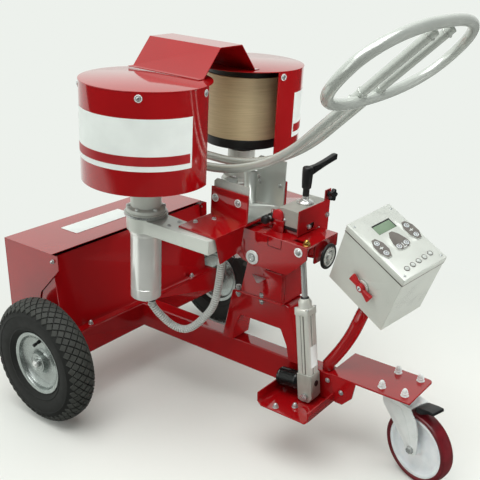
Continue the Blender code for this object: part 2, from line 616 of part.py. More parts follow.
def make_clamp(head):
    """The aluminium clamping block on its friction pad, and the red plate across its rear face."""
    left, right, front, rear = -0.030, 0.116, -0.045, -0.108
    base, top = 0.098, 0.146
    block = box((left, rear, base), (right, front, top), 0.0015)
    pad = box((left + 0.0005, rear + 0.0005, 0.0885 + GAP), (right - 0.040, front - 0.0005, base + 0.002))
    place("clamp_block", [block, pad], "cast_aluminium", head, smooth=35)
    face = rear - GAP
    outline = [(-0.034, TILT_PLATE_TOP + 0.002), (0.078, TILT_PLATE_TOP + 0.002), (0.082, 0.066), (0.082, 0.018),
               (0.118, 0.018), (0.118, 0.180), (0.090, 0.180), (0.090, 0.150), (-0.034, 0.150)]
    slot = box((0.010, rear - 0.03, 0.084), (0.044, rear + 0.03, 0.102))
    place("clamp_plate", [prism(outline, "Y", face - 0.004, face, 0.0008)], "red_paint", head, smooth=35,
          holes=[slot])
    return Vector((0.046, (front + rear) / 2, top)), face - 0.004 - GAP


def make_clamp_lever(head, seat):
    """A clamping lever: turned steel foot, black body and an arm that thins towards its knob."""
    foot = [(0.0, GAP), (0.019, GAP), (0.019, 0.004), (0.010, 0.012), (0.0085, 0.022), (0.0, 0.022)]
    stem = [(0.0, 0.021), (0.0125, 0.021), (0.0135, 0.040), (0.0150, 0.096), (0.0130, 0.106), (0.0, 0.108)]
    start, end = Vector((0.0, 0.0, 0.094)), Vector((0.104, -0.022, 0.116))
    path = [start.lerp(end, share) for share in (0.0, 0.25, 0.55, 0.80, 0.92, 1.0)]
    arm = tube(path, 0.0100, 3, radii=[0.95, 0.86, 0.74, 0.72, 0.92, 0.80])
    place("clamp_lever", [lathe(stem, 16), lathe(foot, 16), arm], "black_plastic", head, seat, smooth=40)


def make_star_knob(head, plate_face):
    """A five-lobed knob on the clamp plate's upper corner."""
    outline = []
    for i in range(25):
        angle = math.tau * i / 25
        radius = 0.0150 + 0.0028 * math.cos(5 * angle)
        outline.append((radius * math.cos(angle), radius * math.sin(angle)))
    shapes = [prism(outline, "Y", -0.020, -0.008, 0.0015), cylinder(0.0075, -0.010, -GAP, "Y", sides=16)]
    place("star_knob", shapes, "black_plastic", head, (0.104, plate_face, 0.167), smooth=40)


def make_index_plunger(head):
    """A spring plunger through the tilt box's lug: a black knob on a bright pin."""
    outline = [(0.0, -0.052), (0.009, -0.052), (0.0120, -0.048), (0.0120, -0.036), (0.0085, -0.033), (0.0070, -0.0327),
               (0.0070, -0.024), (0.0050, -0.022), (0.0050, 0.020), (0.0, 0.022)]
    place("index_plunger", [lathe(outline, 16, "X")], "black_plastic", head, (0.0, PLUNGER_Y, PLUNGER_Z), smooth=35)


def make_crank_disc(head):
    """The dished disc with a rubber rim on the sweep drive's shaft, behind the tilt box."""
    outline = [(0.0, -GAP), (0.010, -GAP), (0.010, -0.0075), (0.0340, -0.0075), (0.0360, -0.0095), (0.0360, -0.0135),
               (0.0340, -0.0155), (0.0290, -0.0160), (0.0240, -0.0130), (0.0120, -0.0135), (0.0100, -0.0190),
               (0.0, -0.0205)]
    place("crank_disc", [lathe(outline, 20, "Y")], "steel", head, (0.016, -0.170, 0.030), smooth=35)


# Panning head
def make_pan_plate(pan):
    """The cross plate with its ears and skirts, and two uprights for the ball guide."""
    top, low = PAN_PLATE_TOP, PAN_PLATE_TOP - PAN_PLATE_SHEET
    rear, front, reach = PAN_REAR, PAN_FRONT, EAR_REACH
    shapes = [box((-reach, rear, low), (reach, front, top), 0.001)]
    for side in (-1, 1):
        skirt = [(side * 0.100, low + 0.003), (side * (reach - 0.001), low + 0.003), (side * 0.196, 0.012),
                 (side * 0.112, 0.024)]
        shapes.append(prism(skirt, "Y", rear + 0.001, rear + 0.005, 0.0008))
        low_x, high_x = both(side, 0.086, 0.092)
        shapes.append(box((low_x, rear + 0.001, low + 0.003), (high_x, front - 0.001, 0.174), 0.001))
    place("pan_plate", shapes, "red_paint", pan, FROM_TILT_BOLT, smooth=35)


def make_rail_bracket(pan):
    """The grey bracket between the uprights: floor, two walls, the right one taller, and two saddles."""
    low, sheet, wall = PAN_PLATE_TOP + GAP, 0.004, 0.0857
    rear, front = PAN_REAR + 0.004, PAN_FRONT - 0.006
    shapes = [box((0.001 - wall, rear + 0.0005, low), (wall - 0.001, front - 0.0005, low + sheet))]
    for side, height, reach in ((-1, 0.197, front), (1, 0.232, front - 0.020)):
        outline = [(rear, low + 0.0005), (reach, low + 0.0005), (reach, height - 0.008), (reach - 0.008, height),
                   (rear, height)]
        shapes.append(prism(outline, "X", *both(side, wall - sheet, wall)))
        low_x, high_x = both(side, 0.032, 0.058)
        shapes.append(box((low_x, 0.098, low + 0.002), (high_x, 0.124, RAIL_LEVEL - RAIL_RADIUS - GAP)))
    place("rail_bracket", shapes, "grey_paint", pan, FROM_TILT_BOLT, smooth=35)


def make_drum_side(pan, side, name):
    """Arm, bearing housing, drum and motor on one side. The drum turns with its shaft."""
    x, y = side * DRUM_X, DRUM_Y
    spot = (x, y - PAN_Y, 0.0)
    tail = 0.022 - y
    arm = [(-0.030, tail), (0.030, tail)] + arc((0.0, 0.0), 0.054, math.radians(-40), math.radians(220), 18)
    place("motor_arm_" + name, [prism(arm, "Z", ARM_LOW, ARM_TOP, 0.002)], "grey_paint", pan, spot, smooth=35)

    base, neck = ARM_TOP + GAP, COVER_LOW - 0.001
    housing = [(0.0152, base), (0.0585, base), (0.0585, base + 0.012), (0.0545, base + 0.014),
               (0.0545, COLLAR_TOP - 0.002), (0.0520, COLLAR_TOP), (0.0425, COLLAR_TOP + 0.004), (0.0425, neck),
               (0.0152, neck)]
    place("bearing_housing_" + name, [lathe(housing, 24)], "grey_paint", pan, spot, smooth=35)

    low, high, r = MOTOR_LOW, ARM_LOW - GAP, MOTOR_RADIUS
    motor = [(0.0, low), (r - 0.006, low), (r, low + 0.005), (r, high - 0.012), (r + 0.003, high - 0.010),
             (r + 0.003, high), (0.0, high)]
    place("motor_" + name, [lathe(motor, 24)], "polished_aluminium", pan, spot, smooth=35)

    r, groove, foot = ROLLER_RADIUS, ROLLER_RADIUS - 0.012, COVER_LOW - 0.040
    core = [(0.0, foot), (0.0148, foot), (0.0148, ROLLER_LOW), (r, ROLLER_LOW), (r, BAND_LOW - 0.002),
            (groove, BAND_LOW - 0.001), (groove, BAND_TOP + 0.001), (r, BAND_TOP + 0.002), (r, ROLLER_TOP),
            (0.030, ROLLER_TOP), (0.030, ROLLER_TOP + 0.005), (0.0, ROLLER_TOP + 0.005)]
    place("drum_core_" + name, [lathe(core, 28)], "black_plastic", pan, spot, smooth=35)
    band = [(groove + GAP, BAND_LOW), (r + 0.001, BAND_LOW), (r + 0.001, BAND_TOP), (groove + GAP, BAND_TOP)]
    place("drum_band_" + name, [lathe(band, 28)], "tan_urethane", pan, spot, smooth=35)


def make_drum_cover(pan, side, name):
    """A round shell, open below and towards the ball, under a flat lid with a small overhang."""
    facing = 0.0 if side < 0 else math.pi
    outer, sheet, low, top = COVER_RADIUS, COVER_SHEET, COVER_LOW, COVER_TOP
    wall = [(outer - sheet, low), (outer, low), (outer, top - 0.001), (outer - sheet, top - 0.001)]
    lid = [(0.0, top - sheet), (outer + 0.001, top - sheet), (outer + 0.001, top - 0.0010), (outer, top), (0.0, top)]
    shapes = [lathe(wall, 22, turn=math.tau - 2 * COVER_OPEN, start=facing + COVER_OPEN), lathe(lid, 36)]
    place("drum_cover_" + name, shapes, "red_paint", pan, (side * DRUM_X, DRUM_Y - PAN_Y, 0), smooth=30)


def make_bridge_guard(pan):
    """A folded guard over the gap between the drums: flat top and two sloping sides on the covers."""
    sheet, base, high = 0.002, COVER_TOP + GAP, 0.536
    upper = [(0.130, base + sheet), (0.1108, base + sheet), (0.0458, high), (-0.0458, high),
             (-0.1108, base + sheet), (-0.130, base + sheet)]
    lower = [(-0.130, base), (-0.1096, base), (-0.0448, high - sheet), (0.0448, high - sheet), (0.1096, base),
             (0.130, base)]
    place("bridge_guard", [prism(upper + lower, "Y", 0.164, 0.420)], "red_paint", pan, FROM_TILT_BOLT)


def make_ball_guide(pan):
    """Two rails that bend up to the rear, welded to a wide oval hoop that guards the ball."""
    centre = (RAIL_BEND_START, RAIL_LEVEL + RAIL_BEND_RADIUS)
    bend = arc(centre, RAIL_BEND_RADIUS, -math.pi / 2, -math.pi / 2 - RAIL_SLOPE, 7)
    last_y, last_z = bend[-1]
    line = [(RAIL_FRONT, RAIL_LEVEL)] + bend + [(RAIL_END, last_z + (last_y - RAIL_END) * math.tan(RAIL_SLOPE))]
    hoop = []
    for i in range(HOOP_STEPS):
        across, rising = superellipse(math.tau * i / HOOP_STEPS)
        hoop.append((across, HOOP_Y - rising * math.cos(HOOP_SLOPE), HOOP_Z + rising * math.sin(HOOP_SLOPE)))
    shapes = [tube(hoop, HOOP_RADIUS, 3, True)]
    shapes += [tube([(x, y, z) for y, z in line], RAIL_RADIUS, 3) for x in (-RAIL_X, RAIL_X)]
    place("ball_guide", shapes, "grey_paint", pan, FROM_TILT_BOLT, smooth=50)


def superellipse(angle):
    """A point of the hoop's outline: half-width across and half-length along, between ellipse and box."""
    power = 2 / HOOP_POWER
    c, s = math.cos(angle), math.sin(angle)
    return (HOOP_HALF_WIDTH * math.copysign(abs(c) ** power, c),
            HOOP_HALF_LENGTH * math.copysign(abs(s) ** power, s))


def make_conduit(pan):
    """The ribbed hose of the left motor's cable: out of the motor's foot, round and up to the pan plate."""
    radius, rib = 0.0112, 0.0013
    back = Matrix.Rotation(-REST_TILT, 3, "X")
    start = Vector((-0.199, DRUM_Y - 0.012, MOTOR_LOW - GAP))
    end = Vector((-0.104, 0.078, PAN_PLATE_TOP - PAN_PLATE_SHEET - GAP))
    sag = [back @ (Vector(point) - TILT_BOLT) for point in
           ((-0.186, -0.262, 0.335), (-0.160, -0.292, 0.296), (-0.143, -0.330, 0.292), (-0.126, -0.372, 0.330),
            (-0.110, -0.410, 0.400))]
    straight = Vector((0.0, 0.0, 2.2 * radius))
    route = [start] + smooth_path([start - straight] + sag + [end - 2 * straight, end - straight], 12) + [end]
    path = even_path(route, 2 * CONDUIT_RIBS)
    swell = [1.0 if i % 2 else 1.0 - rib / radius for i in range(len(path))]
    bore = tube(even_path(route, 20, 0.004), radius - 0.0042, 1)
    place("motor_conduit", [tube(path, radius, 2, radii=swell)], "grey_conduit", pan, FROM_TILT_BOLT,
          smooth=60, holes=[bore])


# Control box
def panel_matrix():
    lean = Matrix.Rotation(PANEL_TILT, 3, "X") @ Matrix.Rotation(PANEL_LEAN, 3, "Y")
    return Matrix.Rotation(PANEL_YAW, 3, "Z") @ lean


def make_control_box(machine):
    """A steel box with a fitted lid, its face sloped to the operator. Parts are placed from the face."""
    desk = make_empty("control_face_middle", PANEL_CENTRE, panel_matrix().to_euler(), machine)
    w, h, seam = PANEL_WIDTH / 2, PANEL_LENGTH / 2, 0.022
    switch = (-w - GAP, -0.0074, -0.1261)
    shell = box((0.0015 - w, 0.0015 - h, -PANEL_DEPTH), (w - 0.0015, h - 0.0015, -seam - 0.0008), 0.003, 2)
    seat = cylinder(0.0150, -0.0040, 0.0050, "X", switch, 24)
    place("control_box", [shell, seat], "grey_paint", desk, smooth=35)

    leaf = [(-0.0065, -0.031), (0.0065, -0.031), (0.0165, -0.012), (0.0165, 0.012), (0.0065, 0.031), (-0.0065, 0.031),
            (-0.0165, 0.012), (-0.0165, -0.012)]
    shield = [(-0.0110, -0.031), (0.0110, -0.031), (0.0225, -0.024), (0.0225, -0.008), (0.0150, 0.014), (0.0055, 0.027),
              (-0.0055, 0.027), (-0.0150, 0.014), (-0.0225, -0.008), (-0.0225, -0.024)]
    keys = {"left": (-0.0553, -0.0012, leaf, (0.0, -0.0170), (0.0, 0.0170)),
            "middle": (0.0012, 0.0, shield, (-0.0125, -0.0188), (0.0125, -0.0188)),
            "right": (0.0553, 0.0050, leaf, (0.0, -0.0172), (0.0, 0.0172))}
    pads, wells = [], []
    for name, (x, y, outline, near, far) in keys.items():
        pads.append(prism([(x + across, y + along) for across, along in outline], "Z", -0.001, PAD_HEIGHT, 0.0007))
        for hand, (across, along) in (("a", near), ("b", far)):
            spot = (x + across, y + along)
            wells.append(cylinder(0.0078, -0.0030, 0.0100, "Z", (*spot, 0.0), 12))
            place(f"button_{name}_{hand}", [cylinder(0.0070, 0.0, 0.0062, sides=12)], "white_nylon",
                  desk, (*spot, -0.0030 + BUTTON_TRAVEL + GAP), smooth=35)
    display = box((-0.0270, 0.0340, -0.0016), (0.0360, 0.0660, 0.0100))
    place("control_face", [box((-w, -h, -seam), (w, h, 0.0), 0.003)] + pads, "grey_paint", desk, smooth=35,
          holes=wells + [display])

    turn = Matrix.Rotation(HANDLE_TURN, 2)
    bow = [(-0.0375, -0.0125), (-0.009, -0.0055), (0.009, -0.0055), (0.0375, -0.0125), (0.0375, 0.0125), (0.009, 0.0055),
           (-0.009, 0.0055), (-0.0375, 0.0125)]
    bow = [tuple(turn @ Vector(corner)) for corner in bow]
    shapes = [prism(bow, "X", -0.0145, -0.0043, 0.0015), cylinder(0.0085, -0.0185, -0.0100, "X", sides=20)]
    place("isolator_handle", shapes, "red_plastic", desk, switch, smooth=35)


def build():
    clear_scene()
    machine = make_empty("machine", (0.0, PLAN_SHIFT, 0.0))
    make_base_frame(machine)
    make_axle(machine)
    make_tower(machine)
    make_tilt_yoke(machine)
    make_actuator_mount(machine)
    make_castor_bracket(machine)
    make_control_post(machine)
    make_battery_tray(machine)
    make_battery_lid(machine, Vector((0.0, 0.021, 0.473)))
    make_battery_pack(machine)
    make_castor(machine)
    make_actuator(machine)
    make_control_box(machine)

    head = make_empty("tilt_axis", TILT_BOLT, (REST_TILT, 0.0, 0.0), machine)
    make_tilt_box(head)
    make_tilt_pins(head)
    seat, plate_face = make_clamp(head)
    make_clamp_lever(head, seat)
    make_star_knob(head, plate_face)
    make_index_plunger(head)
    make_crank_disc(head)

    pan = make_empty("pan_axis", (0.0, PAN_Y, 0.0), parent=head)
    make_pan_plate(pan)
    make_rail_bracket(pan)
    make_bridge_guard(pan)
    make_ball_guide(pan)
    make_conduit(pan)
    for side, name in ((-1, "left"), (1, "right")):
        make_road_wheel(machine, side, name)
        make_drum_side(pan, side, name)
        make_drum_cover(pan, side, name)


build()
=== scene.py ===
# %% [markdown]
# # Ball shooting machine for soccer training
# Two upright drums throw a ball that rolls down a tube guide. The CAD model is loaded as a fixed frame,
# and every finer piece made here rides on one of its moving bodies, so that the machine still moves.

# %% Load the frame
import json
from math import copysign, cos, pi, radians, sin, tau

import bmesh
import bpy
from mathutils import Matrix, Vector

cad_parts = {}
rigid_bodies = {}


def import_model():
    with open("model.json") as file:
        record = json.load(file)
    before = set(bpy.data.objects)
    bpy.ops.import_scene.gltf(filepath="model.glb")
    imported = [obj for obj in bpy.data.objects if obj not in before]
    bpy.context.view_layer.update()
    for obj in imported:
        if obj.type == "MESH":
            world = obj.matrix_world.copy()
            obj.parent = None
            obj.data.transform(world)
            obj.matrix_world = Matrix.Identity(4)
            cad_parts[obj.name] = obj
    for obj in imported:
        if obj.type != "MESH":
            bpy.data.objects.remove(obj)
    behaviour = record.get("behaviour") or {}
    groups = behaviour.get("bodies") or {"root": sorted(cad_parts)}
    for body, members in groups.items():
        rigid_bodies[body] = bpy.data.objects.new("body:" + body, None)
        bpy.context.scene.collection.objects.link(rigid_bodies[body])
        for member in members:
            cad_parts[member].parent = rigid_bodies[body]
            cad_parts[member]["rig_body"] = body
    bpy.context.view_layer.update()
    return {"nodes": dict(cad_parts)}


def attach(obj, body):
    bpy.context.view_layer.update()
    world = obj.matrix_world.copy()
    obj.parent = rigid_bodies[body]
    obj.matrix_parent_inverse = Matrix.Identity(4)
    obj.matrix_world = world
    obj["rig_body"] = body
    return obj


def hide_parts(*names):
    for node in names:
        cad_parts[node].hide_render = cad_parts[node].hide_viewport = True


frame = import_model()
nodes = frame["nodes"]

# %% [markdown]
# ## Places
# A real machine is built from sub-assemblies, each with its own datum. Shapes are easier to write from
# that datum, in plain numbers, and are then moved to their place with one matrix. DESK is the control box's
# face. ALONG_X turns (a, b, height) to (height, a, b), and ALONG_Y turns it to (a, height, b).


# %% Places and turns
def shift(x, y, z):
    return Matrix.Translation((x, y, z))


def rotation(degrees, axis):
    return Matrix.Rotation(radians(degrees), 4, axis)


def spot(point, direction):
    """A place at a point with its own Z along a direction, for a screw or a nut."""
    return Matrix.Translation(point) @ Vector(direction).to_track_quat("Z", "Y").to_matrix().to_4x4()


# %% Datums of the sub-assemblies
MACHINE = shift(0.0, 0.4245, 0.0)                       # middle of the wheel axle, on the floor
HEAD = shift(0.0, -0.0885, 0.543) @ rotation(3, "X")    # tilt bolt
ACTUATOR = shift(-0.056, -0.2755, 0.178) @ rotation(-5.366, "X")      # foot pin of the lift actuator
CASTOR = shift(0.04, -0.5055, 0.0) @ rotation(-16, "Z")               # swivel axis, on the floor
DESK = shift(0.0, -0.472, 0.6617) @ rotation(-10.62, "Z") @ rotation(26.09, "X") @ rotation(-12, "Y")
ALONG_X = Matrix(((0, 0, 1, 0), (1, 0, 0, 0), (0, 1, 0, 0), (0, 0, 0, 1)))
ALONG_Y = Matrix(((1, 0, 0, 0), (0, 0, 1, 0), (0, 1, 0, 0), (0, 0, 0, 1)))
AT_REST = Matrix.Identity(4)
LEFTWARD, RIGHTWARD, REARWARD, UPWARD, DOWNWARD = (-1, 0, 0), (1, 0, 0), (0, -1, 0), (0, 0, 1), (0, 0, -1)
print("tilt bolt at", tuple(round(v, 4) for v in HEAD.translation))

# %% [markdown]
# ## Materials
# Each finish starts from its real material and process. Colours are sRGB hex values turned to linear.
# Patterns use Object coordinates, because every piece keeps its place in its mesh, and their scales
# come from real sizes in millimetres.


# %% Colour and node helpers
def colour(code):
    """An sRGB hex value as linear RGBA."""
    parts = [int(code[i:i + 2], 16) / 255 for i in (1, 3, 5)]
    return (*(v / 12.92 if v <= 0.04045 else ((v + 0.055) / 1.055) ** 2.4 for v in parts), 1.0)


def add(material, kind, inputs=None, **settings):
    """Adds one node with its settings, and sets or links each of its inputs."""
    tree = material.node_tree
    node = tree.nodes.new(kind)
    for key, value in settings.items():
        setattr(node, key, value)
    for key, value in (inputs or {}).items():
        if isinstance(value, bpy.types.NodeSocket):
            tree.links.new(value, node.inputs[key])
        else:
            node.inputs[key].default_value = value
    return node


def combine(material, operation, first, second):
    """One sum, product or maximum of two values."""
    return add(material, "ShaderNodeMath", {0: first, 1: second}, operation=operation).outputs["Value"]


def ramp(material, value, start, end, low, high, kind="LINEAR"):
    """Goes from low to high while the value goes from start to end."""
    ends = {"Value": value, "From Min": start, "From Max": end, "To Min": low, "To Max": high}
    return add(material, "ShaderNodeMapRange", ends, interpolation_type=kind).outputs["Result"]


def finish(
        name, slot, dark, light, patch_mm, grain_mm, bump_mm, rough, metallic=0.0, stretch=(1.0, 1.0, 1.0),
        **sockets):
    """A material with patches of two close colours, a roughness that varies and a fine grain as bump."""
    material = bpy.data.materials.new(name)
    material.use_nodes = True
    links = material.node_tree.links
    shader = material.node_tree.nodes["Principled BSDF"]
    shader.inputs["Base Color"].default_value = colour(light)
    shader.inputs["Roughness"].default_value = rough[1]
    shader.inputs["Metallic"].default_value = metallic
    for key, value in sockets.items():
        shader.inputs[key.replace("_", " ")].default_value = value
    place = add(material, "ShaderNodeTexCoord").outputs["Object"]
    stretched = add(material, "ShaderNodeMapping", {"Vector": place, "Scale": stretch}).outputs["Vector"]
    patch, grain = [
        add(material, "ShaderNodeTexNoise", {"Vector": stretched, "Scale": 1000.0 / size, "Detail": detail})
        .outputs["Fac"] for size, detail in ((patch_mm, 5.0), (grain_mm, 4.0))]
    blend = ramp(material, patch, 0.35, 0.65, 0.0, 1.0)
    mix = add(material, "ShaderNodeMix", {"Factor": blend}, data_type="RGBA")
    for key, code in (("A", dark), ("B", light)):
        [s for s in mix.inputs if s.name == key and s.type == "RGBA"][0].default_value = colour(code)
    links.new([s for s in mix.outputs if s.type == "RGBA"][0], shader.inputs["Base Color"])
    spread = ramp(material, combine(material, "ADD", patch, grain), 0.7, 1.3, *rough)
    links.new(spread, shader.inputs["Roughness"])
    bump = add(material, "ShaderNodeBump", {"Height": grain, "Strength": 1.0, "Distance": bump_mm / 1000.0})
    links.new(bump.outputs["Normal"], shader.inputs["Normal"])
    return material


# %% [markdown]
# ### Painted steel
# The frame and covers are folded steel with a glossy red powder coat. It melts into a skin with a faint
# orange peel of about 3 mm, which bends reflections a little. A coat layer gives the second, sharper
# reflection. The bracket, hoop and control box have a silver-grey paint with fine metal flakes.

# %% Painted finishes
red_coat = finish(
    "red powder coat on folded steel", "red_paint", "#980A0F", "#A00B11", 160, 3.4, 0.003, (0.08, 0.13),
    Coat_Weight=0.7, Coat_Roughness=0.04)
grey_coat = finish(
    "silver-grey enamel with metal flakes", "grey_paint", "#CFD3CC", "#D5D9D2", 90, 0.8, 0.002,
    (0.26, 0.34), 0.15, Coat_Weight=0.25, Coat_Roughness=0.12)
silver_coat = finish(
    "silver coat with coarse metal flakes", "grey_paint", "#BEC3BD", "#C6CBC5", 90, 0.8, 0.002, (0.2, 0.28),
    0.4, Coat_Weight=0.3, Coat_Roughness=0.1)
print("painted finishes:", red_coat.name, "|", grey_coat.name, "|", silver_coat.name)

# %% [markdown]
# ### Bare metals
# Zinc plating is bluish and slightly cloudy, turned aluminium has fine rings, extruded aluminium has die
# lines along its length, and ground steel is the smoothest. A metal keeps the default IOR.

# %% Bare metal finishes
zinc = finish("zinc plated steel", "zinc", "#C6CAC9", "#D0D4D3", 40, 0.9, 0.0012, (0.24, 0.33), 0.75)
# The rims' zinc is darker than plain zinc, as painted shade of their deep dish.
shaded_dish_zinc = finish("zinc plated dish steel darkened as painted shade", "zinc", "#A1A8A5", "#B1B8B5", 30, 0.9, 0.0012, (0.2, 0.3), 0.8)
ground_steel = finish(
    "ground and chromed steel", "steel", "#DADCDA", "#E0E2E0", 30, 0.5, 0.0004, (0.12, 0.17), 0.7)
turned_aluminium = finish(
    "turned and polished aluminium", "polished_aluminium", "#F5F6F3", "#FBFCF9", 60, 0.8, 0.0008,
    (0.08, 0.14), 0.5, stretch=(0.03, 0.03, 1.0))
cast_aluminium = finish(
    "die-cast and extruded aluminium", "cast_aluminium", "#D5D6CE", "#DDDED6", 30, 0.6, 0.003, (0.32, 0.4),
    0.35, stretch=(1.0, 1.0, 0.12))
sand_cast = finish(
    "sand-cast and blasted aluminium", "cast_aluminium", "#ABADA4", "#B5B7AE", 20, 0.9, 0.008, (0.38, 0.48),
    0.35)
print("metals:", ", ".join(m.name for m in (zinc, ground_steel, turned_aluminium, cast_aluminium)))

# %% [markdown]
# ### Plastics and rubbers
# Moulded nylon parts carry a fine spark-eroded grain. The tyre is dusty rubber. The drum's tan polyurethane
# band is wound and ground, so it shows fine rings, and the castor tread is cast maroon polyurethane.

# %% Plastic and rubber finishes
black_nylon = finish(
    "moulded black nylon", "black_plastic", "#101112", "#1A1B1C", 20, 0.6, 0.02, (0.34, 0.5))
black_enamel = finish(
    "black enamel on drawn steel", "black_plastic", "#0F1111", "#161818", 30, 0.8, 0.004, (0.15, 0.24))
white_nylon = finish(
    "moulded white nylon", "white_nylon", "#D3D9DC", "#E2E6E8", 40, 0.7, 0.01, (0.32, 0.46),
    Subsurface_Weight=0.05)
red_nylon = finish("moulded red nylon", "red_plastic", "#A51118", "#BA161D", 15, 0.6, 0.01, (0.28, 0.42))
tyre_rubber = finish(
    "vulcanised tyre rubber with dust", "tyre_rubber", "#121411", "#191B18", 30, 1.1, 0.05, (0.62, 0.85))
tan_urethane = finish(
    "ground tan polyurethane", "tan_urethane", "#CFBB93", "#DCC8A0", 3.2, 0.9, 0.02, (0.42, 0.56),
    stretch=(0.04, 0.04, 1.0))
maroon_urethane = finish(
    "cast maroon polyurethane", "maroon_urethane", "#530D15", "#6A131D", 30, 1.4, 0.015, (0.26, 0.42),
    Coat_Weight=0.2)
grey_hose = finish(
    "extruded grey polyamide hose", "grey_conduit", "#C6C9C6", "#D4D7D4", 14, 0.8, 0.01, (0.42, 0.58))
battery_case = finish(
    "moulded battery case", "battery_case", "#18191B", "#222326", 30, 0.8, 0.02, (0.42, 0.6))
tread_rubber = finish("worn tread rubber", "tyre_rubber", "#333531", "#3D3F3B", 24, 0.9, 0.04, (0.6, 0.8))

# %% [markdown]
# ### Small finishes
# Brass for one fitting, vinyl film for the plain labels and the key pads, the display's reflective liquid
# crystal glass, and the clear lamp lenses. Pressed zinc on the castor is brighter than on cast fittings.

# %% Films, glass and brass
brass = finish("turned brass", "steel", "#BF9B50", "#D0AD64", 20, 0.8, 0.003, (0.2, 0.3), 1.0)
bright_zinc = finish(
    "pressed and bright zinc plated steel", "zinc", "#EBF0EE", "#F4F7F6", 40, 0.9, 0.004, (0.26, 0.38), 0.3)
label_film = finish("white vinyl film", "white_nylon", "#E1E7E4", "#E8EEEB", 60, 1.0, 0.003, (0.3, 0.4))
label_red = finish("printed red vinyl film", "red_paint", "#98121A", "#A6161D", 60, 1.0, 0.003, (0.3, 0.4))
# Darker red, used only as painted shade in the bend relief's cut.
painted_shade_red = finish("red coat darkened as painted shade in a cut", "red_paint", "#55060A", "#67080E", 20, 1.0, 0.003, (0.35, 0.5))
# Real film on the key pads, lamp bezels and button rings. Also painted shade in the lid seam, the actuator
# tube's slots and the hose's valleys.
pad_film_and_shade = finish("dark grey key pad film and painted shade", "grey_paint", "#65605B", "#726D67", 30, 0.8, 0.005, (0.35, 0.5))
display_glass = finish(
    "liquid crystal display glass", "grey_paint", "#7A9078", "#839981", 40, 2.0, 0.0005, (0.08, 0.16))
lamp_lens = finish("clear lamp lens", "white_nylon", "#BBC1BB", "#CCD0CC", 12, 1.0, 0.002, (0.1, 0.2))

# %% [markdown]
# ## Shapes
# Folded sheet, turned parts and bent tube make almost the whole machine, so there is one helper for each:
# an outline that is extruded and bevelled, a profile that is spun, and a curve that is given a thickness.


# %% Shape helpers
def rounded(bm, width, segments=2, angle=35.0):
    """Bevels the sharp edges, as a real edge is never quite sharp."""
    bmesh.ops.recalc_face_normals(bm, faces=bm.faces)
    if width:
        sharp = [e for e in bm.edges if e.is_manifold and e.calc_face_angle() > radians(angle)]
        bmesh.ops.bevel(
            bm, geom=sharp, offset=width, affect="EDGES", segments=segments, profile=0.5, material=-1,
            clamp_overlap=True)
    return bm


def turned(profile, steps=64, bevel=0.0, segments=2, turn=tau, start=0.0):
    """Spins (radius, height) points about Z. A profile that starts on the axis is left open there."""
    bm = bmesh.new()
    ring = [bm.verts.new((radius * cos(start), radius * sin(start), height)) for radius, height in profile]
    pairs = list(zip(ring, ring[1:]))
    if profile[0][0] > 0.0:
        pairs.append((ring[-1], ring[0]))
    geom = ring + [bm.edges.new(pair) for pair in pairs]
    whole = abs(turn - tau) < 1e-6
    if not whole:
        geom.append(bm.faces.new(ring))
    bmesh.ops.spin(
        bm, geom=geom, cent=(0, 0, 0), axis=(0, 0, 1), angle=turn, steps=steps, use_merge=whole,
        use_duplicate=False)
    bmesh.ops.remove_doubles(bm, verts=bm.verts, dist=2e-6)
    return rounded(bm, bevel, segments, 25.0)


def both_ends(profile):
    """The profile followed by its mirror image at the opposite heights."""
    return profile + [(radius, -height) for radius, height in reversed(profile) if height != 0.0]


def slab(outline, low, high, bevel=0.0, segments=2, place=AT_REST):
    """Extrudes an (a, b) outline from low to high on Z and rounds its edges."""
    bm = bmesh.new()
    face = bm.faces.new([bm.verts.new((a, b, low)) for a, b in outline])
    grown = bmesh.ops.extrude_face_region(bm, geom=[face])["geom"]
    bmesh.ops.translate(
        bm, verts=[v for v in grown if isinstance(v, bmesh.types.BMVert)], vec=(0, 0, high - low))
    rounded(bm, bevel, segments)
    bmesh.ops.transform(bm, matrix=place, verts=bm.verts)
    return bm


def block(low, high, bevel=0.0, segments=2):
    low, high = Vector(low), Vector(high)
    bm = bmesh.new()
    bmesh.ops.create_cube(
        bm, size=1.0, matrix=Matrix.Translation((low + high) / 2) @ Matrix.Diagonal((*(high - low), 1.0)))
    return rounded(bm, bevel, segments)


def bar(path, radius, resolution=6, cyclic=False, radii=None):
    """A round bar along a list of points, from a curve with thickness."""
    curve = bpy.data.curves.new("bar", "CURVE")
    curve.dimensions = "3D"
    curve.bevel_depth = radius
    curve.bevel_resolution = resolution
    curve.use_fill_caps = True
    spline = curve.splines.new("POLY")
    spline.points.add(len(path) - 1)
    for index, point in enumerate(path):
        spline.points[index].co = (*point, 1.0)
        spline.points[index].radius = radii[index] if radii else 1.0
    spline.use_cyclic_u = cyclic
    holder = bpy.data.objects.new("bar", curve)
    mesh = bpy.data.meshes.new_from_object(holder)
    bm = bmesh.new()
    bm.from_mesh(mesh)
    bmesh.ops.remove_doubles(bm, verts=bm.verts, dist=1e-7)
    bpy.data.objects.remove(holder)
    bpy.data.curves.remove(curve)
    bpy.data.meshes.remove(mesh)
    return bm


def repeated(shape, places):
    """One bmesh with the shape at each place."""
    mesh = bpy.data.meshes.new("template")
    shape.to_mesh(mesh)
    shape.free()
    whole = bmesh.new()
    for place in places:
        before = len(whole.verts)
        whole.from_mesh(mesh)
        whole.verts.ensure_lookup_table()
        bmesh.ops.transform(whole, matrix=place, verts=whole.verts[before:])
    bpy.data.meshes.remove(mesh)
    return whole


def joined(*shapes):
    """One bmesh that holds all the shapes."""
    whole = bmesh.new()
    for shape in shapes:
        mesh = bpy.data.meshes.new("part")
        shape.to_mesh(mesh)
        shape.free()
        whole.from_mesh(mesh)
        bpy.data.meshes.remove(mesh)
    return whole


def moved(shape, matrix):
    bmesh.ops.transform(shape, matrix=matrix, verts=shape.verts)
    return shape


